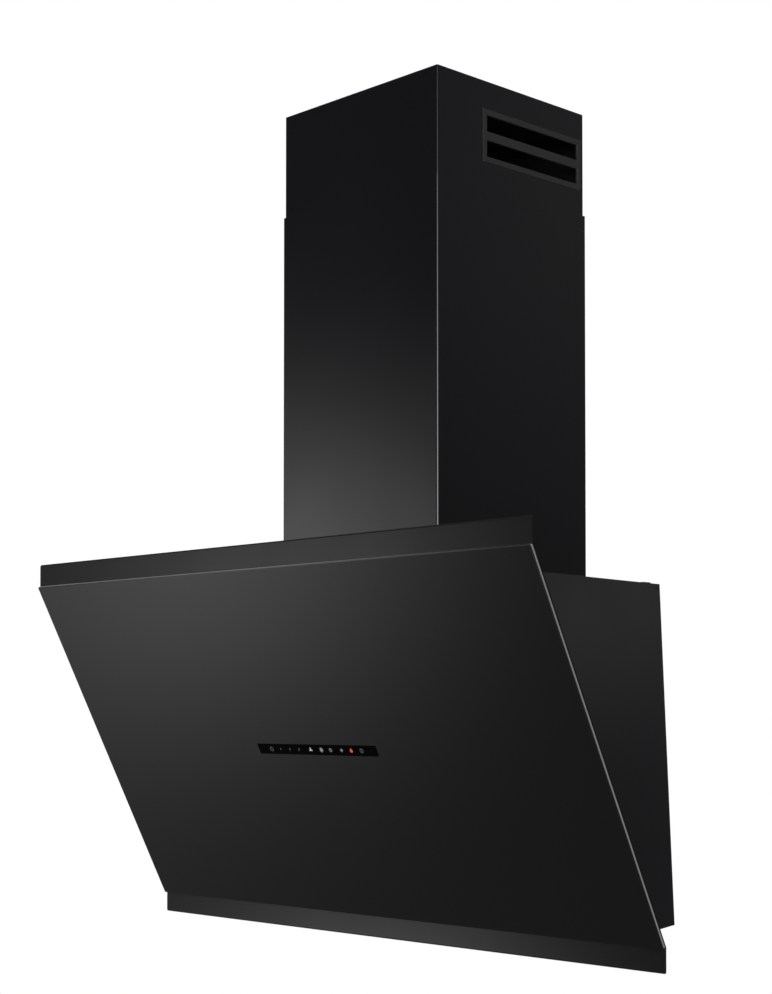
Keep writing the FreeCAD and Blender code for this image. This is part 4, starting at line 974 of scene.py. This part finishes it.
def blower_motor():
    """End bells, a laminated stack between them and four through-bolts."""
    stack = []
    x = 0.0335
    while x < 0.0575:
        stack += [(0.042, x), (0.042, x + 0.0008), (0.0411, x + 0.0010), (0.0411, x + 0.0014)]
        x += 0.0016
    start = (0.0041, 0.016)
    profile = [start, (0.0120, 0.016), (0.0135, 0.0172), (0.0235, 0.0172), (0.025, 0.0187),
               (0.025, 0.0238), (0.0370, 0.0238), (0.0405, 0.0255), (0.0420, 0.0285),
               (0.0420, 0.0325), *stack, (0.0420, 0.0585), (0.0420, 0.0630), (0.0405, 0.0660),
               (0.0370, 0.0672), (0.025, 0.0672), (0.025, 0.0735), (0.0235, 0.0748),
               (0.0041, 0.0748), start]
    shape = Shape()
    shape.turned(profile, across(FAN_Y, FAN_Z), steps=64)
    for i in range(4):
        turn = math.radians(45 + 90 * i)
        y, z = FAN_Y + 0.033 * math.cos(turn), FAN_Z + 0.033 * math.sin(turn)
        shape.turned([(0, 0.0665), (0.0034, 0.0665), (0.0034, 0.0688), (0.0030, 0.0694),
                      (0, 0.0694)], across(y, z), steps=6, finish=1)
    shape.piece("motor_detailed", "housing", "motor_paint", ["blower_motor"],
                [FINISHES["motor_paint"], FINISHES["zinc_steel"]], angle=35.0)


def charcoal_filter(side, sign):
    """The cassette: its drum with a recessed face, the carbon in it, and a grid of spokes."""
    body = f"{side}_charcoal"
    face, depth, inner, outer = 0.1085, 0.0016, 0.026, 0.093
    place = across(FAN_Y, FAN_Z, sign)
    drum = dressed(f"charcoal_filter_{side}", bevel=0)
    recess = Shape()
    recess.band(inner, outer, face - depth, face + 0.001, place)
    cut(drum, [recess.cutter()])
    soften(drum, 0.0005)
    bed = Shape()
    bed.band(inner - 0.0004, outer + 0.0004, face - depth - 0.0004, face - depth + 0.0002, place)
    bed.piece(f"carbon_bed_{side}", body, "charcoal_plastic", finishes=[CARBON])
    grid = Shape()
    grid.spokes(24, (inner, outer), (-0.0009, 0.0009), (face - depth, face - 0.0002), place)
    for radius in (0.038, 0.049, 0.060, 0.071, 0.082):
        grid.band(radius - 0.0008, radius + 0.0008, face - depth, face - 0.0002, place)
    grid.piece(f"carbon_grid_{side}", body, "charcoal_plastic", angle=40.0)


# ---------------- lamps, screws and small parts

def lamp(side, x):
    def place(u, v, t):
        return underside(x + u, LAMP_Y + v, t)

    rim = Shape()
    rim.turned([(0, 0.001), (0.0231, 0.001), (0.0231, -0.0011), (0.0236, -0.0017),
                (0.0246, -0.002), (0.0290, -0.0019), (0.0312, -0.0014), (0.0320, -0.0006),
                (0.0320, 0.0), (0.0270, 0.0), (0.0270, 0.0268), (0.0258, 0.028), (0, 0.028)],
               place, steps=72)
    rim.piece(f"lamp_rim_{side}", "housing", "lamp_metal", [f"lamp_{side}"], angle=35.0)
    lens = Shape()
    face = [(0, -0.0013)]
    radius = 0.003
    while radius < 0.0205:
        face += [(radius, -0.0013), (radius + 0.0002, -0.0010), (radius + 0.0011, -0.0013)]
        radius += 0.0014
    lens.turned(face + [(0.0215, -0.0015), (0.0226, -0.0012), (0.0229, -0.0006),
                        (0.0229, 0.0009), (0, 0.0009)], place, steps=72)
    lens.piece(f"lamp_lens_{side}_ribbed", "housing", "lamp_diffuser", [f"lamp_lens_{side}"],
               angle=20.0)


def seats(xs, ys, place):
    """Places about the middles where the lines at xs and ys cross."""
    return [lambda u, v, t, x=x, y=y: place(x + u, y + v, t) for x in xs for y in ys]


def screws(name, body, places, radius, height, shank=0.0, stands_for=()):
    """Cross-recess screws; each place is a function whose third way points out of the seat."""
    shape = Shape()
    for place in places:
        shape.screw(place, radius, height)
        if shank:
            shape.turned([(0, -shank), (radius * 0.35, -shank), (radius * 0.47, -shank * 0.9),
                          (radius * 0.47, 0.0002), (0, 0.0002)], place, steps=16)
    shape.piece(name, body, "zinc_steel", stands_for, angle=35.0)


def foot_screws():
    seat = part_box("lower_chimney")[0].z + CHIMNEY_SHEET
    screws("foot_screws", "housing",
           seats(*FOOT_SCREWS, lambda x, y, t: Vector((x, y, seat + t))),
           0.004, 0.0024, 0.009, ["chimney_screws"])


def hinge_screws():
    xs = (-HINGE_X, HINGE_X)
    screws("hinge_screws_fixed", "housing",
           seats(xs, (0.0345, 0.0455), lambda x, v, t: slope(x, v, FRONT_W - 0.0015 - t)),
           0.0026, 0.0011)
    screws("hinge_screws_moving", "door",
           seats([x + u for x in xs for u in (-0.0074, 0.0074)], (0.018, 0.038),
                 lambda x, v, t: slope(x, v, 0.0067 + t)),
           0.0021, 0.0010)


def lid_screws():
    low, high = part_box("control_box_lid")
    screws("lid_screws", "housing",
           seats((low.x + 0.006, high.x - 0.006), (low.y + 0.006, high.y - 0.006),
                 lambda x, y, t: Vector((x, y, low.z - t))),
           0.0028, 0.0012)


def mount_screws():
    """One at the end of each arm of the motor mount, through the inlet ring's wall."""
    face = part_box("motor_mount")[1].x
    places = []
    for i in range(3):
        turn = math.radians(180 + 120 * i)
        y, z = FAN_Y + 0.0735 * math.cos(turn), FAN_Z + 0.0735 * math.sin(turn)
        places.append(lambda a, b, t, y=y, z=z: Vector((face + t, y + a, z + b)))
    screws("mount_screws", "housing", places, 0.003, 0.0004)


def standing(node):
    """A node's box, and places for something turned about its upright middle line."""
    low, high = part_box(node)
    return low, high, upright((low.x + high.x) / 2, (low.y + high.y) / 2)


def cable_gland():
    """A ribbed clamping cap over a hex flange, with threads under the panel."""
    low, high, place = standing("cable_gland")
    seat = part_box("top_panel")[1].z
    thread = []
    z = low.z + 0.0008
    while z < seat - 0.002:
        thread += [(0.0080, z), (0.0074, z + 0.0007)]
        z += 0.0014
    shape = Shape()
    shape.turned([(0.0036, low.z), (0.0074, low.z), *thread, (0.0080, seat), (0.0080, high.z - 0.005),
                  (0.0072, high.z - 0.0015), (0.0058, high.z), (0.0036, high.z), (0.0036, low.z)],
                 place, steps=48)
    shape.turned([(0.0078, seat), (0.0110, seat), (0.0110, seat + 0.0024), (0.0104, seat + 0.003),
                  (0.0078, seat + 0.003), (0.0078, seat)], place, steps=6)
    shape.spokes(16, (0.0076, 0.0084), (-0.0006, 0.0006), (seat + 0.003, high.z - 0.005), place)
    shape.piece("gland_detailed", "housing", "black_plastic", ["cable_gland"], bevel=0.0001,
                angle=40.0)


def run_capacitor():
    """A can with a crimped rim, hanging from the top panel, and two tabs under it."""
    low, high, place = standing("run_capacitor")
    shape = Shape()
    shape.turned([(0, low.z + 0.008), (0.0162, low.z + 0.008), (0.0166, low.z + 0.0066),
                  (0.0175, low.z + 0.0066), (0.018, low.z + 0.0080), (0.0176, low.z + 0.0098),
                  (0.0179, low.z + 0.0110), (0.0180, high.z - 0.001), (0.0172, high.z),
                  (0, high.z)], place, steps=48)
    for u in (-0.006, 0.006):
        shape.block((u - 0.0004, u + 0.0004), (-0.003, 0.003), (low.z, low.z + 0.009), place, 1)
    shape.piece("capacitor_detailed", "housing", "capacitor_shell", ["run_capacitor"],
                [FINISHES["capacitor_shell"], FINISHES["zinc_steel"]], bevel=0.0002)


def corner_details():
    """At the housing's upper rear corners: a folded tab on top and a plug in the side."""
    side_normal = Vector((1, 0.11783, 0.04984)).normalized()
    top_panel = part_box("top_panel")[1]
    for side, sign in (("left", -1), ("right", 1)):
        tab = Shape()
        tab.block((sign * 0.224, sign * 0.2342), (-0.030, -0.017),
                  (top_panel.z - 0.0002, top_panel.z + 0.0011))
        tab.piece(f"corner_tab_{side}", "housing", "black_steel", bevel=0.0004)
        plug = Shape()
        z, y = 0.1812, -0.0065
        x = 0.2338 + 0.04984 * (0.1854 - z) + 0.11783 * -y
        out = Vector((sign * side_normal.x, side_normal.y, side_normal.z))
        along = (Vector((0, 1, 0)) - out * out.y).normalized()
        upward = out.cross(along)

        def place(u, v, t):
            return Vector((sign * x, y, z)) + along * u + upward * v + out * t

        plug.turned([(0, -0.0002), (0.0016, -0.0001), (0.0019, 0.0002), (0.0024, 0.0002),
                     (0.0025, -0.0004), (0, -0.0004)], place, steps=24)
        # The plug takes the near-black plastic that is painted shade on the air deflector.
        plug.piece(f"corner_plug_{side}", "housing", "black_plastic", finishes=[DEEP_BLACK_AND_SHADE],
                   angle=40.0)


# ---------------- stage, light and camera

FLOOR_Z = -2.2
FLOOR_REACH = 4.0

# The camera's slight rise keeps its lens shift small, so that other views stay in the frame.
CAMERA_AT = (1.4988, -1.6550, 0.0422)
CAMERA_TURN = math.radians(45.904)
CAMERA_RISE = math.radians(1.5)
CAMERA_LENS = 66.34
CAMERA_SHIFT_Y = 0.1673

# What the gloss mirrors: azimuth from the cook's side towards +X, elevation, spread, strength.
SOFT_BOXES = [
    (-48.5, 3.1, 3.2, 3.3),
    (-46.4, -10.8, 2.8, 6.8),
    (-59.5, -25.6, 4.8, 0.80),
    (153.7, 6.4, 2.0, 0.48),
    (140.5, 16.6, 6.5, 0.15),
    (28.0, 4.0, 7.8, 8.0),
    (46.0, 4.0, 7.8, 11.0),
    (64.0, 4.0, 7.8, 8.0),
    (-150.0, 12.0, 14.0, 0.5),
    (190.0, -12.0, 8.0, 0.7),
    (126.0, -28.0, 6.0, 0.45),
    (92.0, -14.0, 10.0, 0.7),
    (-92.0, -14.0, 10.0, 0.7),
    (-135.0, -20.0, 8.0, 0.8),
    (25.0, -26.0, 11.0, 0.7),
]
MIRRORED_DARK = 0.116
MIRRORED_TOP = 0.6
MIRRORED_FLOOR = 0.35
DIFFUSE_LIGHT = 0.75


def direction(azimuth, elevation):
    a, e = math.radians(azimuth), math.radians(elevation)
    return Vector((math.sin(a) * math.cos(e), -math.cos(a) * math.cos(e), math.sin(e)))


def world():
    made = bpy.data.worlds.new("studio")
    scene.world = made
    made.use_nodes = True
    tree = made.node_tree
    tree.nodes.clear()

    def node(kind, inputs=(), **settings):
        return add_node(tree, kind, inputs, **settings)

    way = node("ShaderNodeTexCoord").outputs["Generated"]
    height = node("ShaderNodeSeparateXYZ", [way]).outputs["Z"]

    total = MIRRORED_DARK
    for start, end, strength in ((0.5, 0.95, MIRRORED_TOP), (-0.8, -1.0, MIRRORED_FLOOR)):
        rise = node("ShaderNodeMapRange", [height, start, end, 0.0, strength],
                    interpolation_type="SMOOTHSTEP").outputs["Result"]
        total = node("ShaderNodeMath", [rise, total], operation="ADD").outputs[0]
    for azimuth, elevation, spread, strength in SOFT_BOXES:
        sharp = 1 / math.radians(spread) ** 2
        near = node("ShaderNodeVectorMath", [way, direction(azimuth, elevation)],
                    operation="DOT_PRODUCT").outputs["Value"]
        fall = node("ShaderNodeMath", [near, sharp, -sharp], operation="MULTIPLY_ADD").outputs[0]
        glow = node("ShaderNodeMath", [fall], operation="EXPONENT").outputs[0]
        total = node("ShaderNodeMath", [glow, strength, total],
                     operation="MULTIPLY_ADD").outputs[0]

    path = node("ShaderNodeLightPath")
    white, diffuse, mirrored = [
        node("ShaderNodeBackground", [(1, 1, 1, 1), strength]).outputs[0]
        for strength in (1.0, DIFFUSE_LIGHT, total)]
    seen = node("ShaderNodeMath", [path.outputs["Is Camera Ray"],
                                   path.outputs["Is Transmission Ray"]], operation="MAXIMUM")
    inner = node("ShaderNodeMixShader", [path.outputs["Is Glossy Ray"], diffuse, mirrored])
    outer = node("ShaderNodeMixShader", [seen.outputs[0], inner.outputs[0], white])
    node("ShaderNodeOutputWorld", [outer.outputs[0]])


def floor():
    """A pale round floor that takes the shadows and fades into the white around it."""
    shape = Shape()
    shape.turned([(0, FLOOR_Z - 0.01), (FLOOR_REACH, FLOOR_Z - 0.01), (FLOOR_REACH, FLOOR_Z),
                  (0, FLOOR_Z)], plain, steps=96)
    finish = Finish("pale_floor", IOR=1.4)
    cloud = finish.noise(0.6)
    finish.colour(cloud, grey(0.86), grey(0.90))
    finish.gloss(cloud, 0.7, 0.8)
    middle = finish.node("ShaderNodeVectorMath", [finish.space], operation="LENGTH")
    fade = finish.between(middle.outputs["Value"], 0.0, 1.0, abs(FLOOR_Z), FLOOR_REACH * 1.1)
    path = finish.node("ShaderNodeLightPath")
    share = finish.maths("MULTIPLY", fade, path.outputs["Is Camera Ray"])
    white = finish.node("ShaderNodeEmission")
    mix = finish.node("ShaderNodeMixShader", [share, finish.shader.outputs[0], white.outputs[0]])
    finish.tree.links.new(mix.outputs[0], finish.tree.nodes["Material Output"].inputs["Surface"])
    made = shape.piece("floor", None, finishes=[finish.material])
    made.visible_glossy = False


def studio_lamp(name, azimuth, elevation, distance, size, power):
    """A soft square lamp aimed at the hood, which doesn't show in the gloss."""
    middle = Vector((0, -0.2, 0.25))
    data = bpy.data.lights.new(name, "AREA")
    data.shape = "SQUARE"
    data.size = size
    data.energy = power
    made = bpy.data.objects.new(name, data)
    scene.collection.objects.link(made)
    away = direction(azimuth, elevation)
    made.location = middle + away * distance
    made.rotation_mode = "QUATERNION"
    made.rotation_quaternion = away.to_track_quat("Z", "Y")
    made.visible_glossy = False
    made.visible_camera = False


def camera():
    data = bpy.data.cameras.new("camera")
    data.lens = CAMERA_LENS
    data.shift_y = CAMERA_SHIFT_Y
    made = bpy.data.objects.new("camera", data)
    scene.collection.objects.link(made)
    made.location = CAMERA_AT
    made.rotation_euler = (math.radians(90) + CAMERA_RISE, 0, CAMERA_TURN)
    scene.camera = made


# ---------------- the whole hood

def dress_the_rest():
    """Every CAD piece that no function above stands for gets rounded edges and its finish; the air deflector
    gets the near-black painted shade instead.
    """
    fine = {"impeller_blades": 0.0001, "impeller": 0.0003, "touch_board": 0.0001,
            "power_board": 0.0001, "front_fascia": 0, "damper_pin": 0.0002}
    for node, item in frame["nodes"].items():
        if not item.hide_render:
            # The air deflector takes the near-black painted shade in place of its slot's finish.
            dark = node == "air_deflector"
            dressed(node, fine.get(node, 0.0004), DEEP_BLACK_AND_SHADE if dark else None)


camera()
world()
floor()
studio_lamp("key_lamp", -40.0, 35.0, 2.6, 1.6, 26.0)
studio_lamp("fill_lamp", 70.0, 20.0, 2.8, 1.8, 12.0)
studio_lamp("top_lamp", 170.0, 60.0, 2.6, 1.6, 10.0)

glass_panel()
control_window()
touch_marks()
door_carrier()
lower_chimney()
upper_chimney()
exhaust_duct()
duct_clamp("lower_duct_clamp", "housing")
duct_clamp("upper_duct_clamp", "upper_cover")
for side, sign in (("left", -1), ("right", 1)):
    vent_grille(side, sign)
    grease_filter(side, sign * FILTER_X)
    latch_spring(side, sign * FILTER_X)
    charcoal_filter(side, sign)
    lamp(side, sign * LAMP_X)
blower_motor()
cable_gland()
run_capacitor()
foot_screws()
hinge_screws()
lid_screws()
mount_screws()
corner_details()
dress_the_rest()

scene.view_settings.view_transform = "Standard"
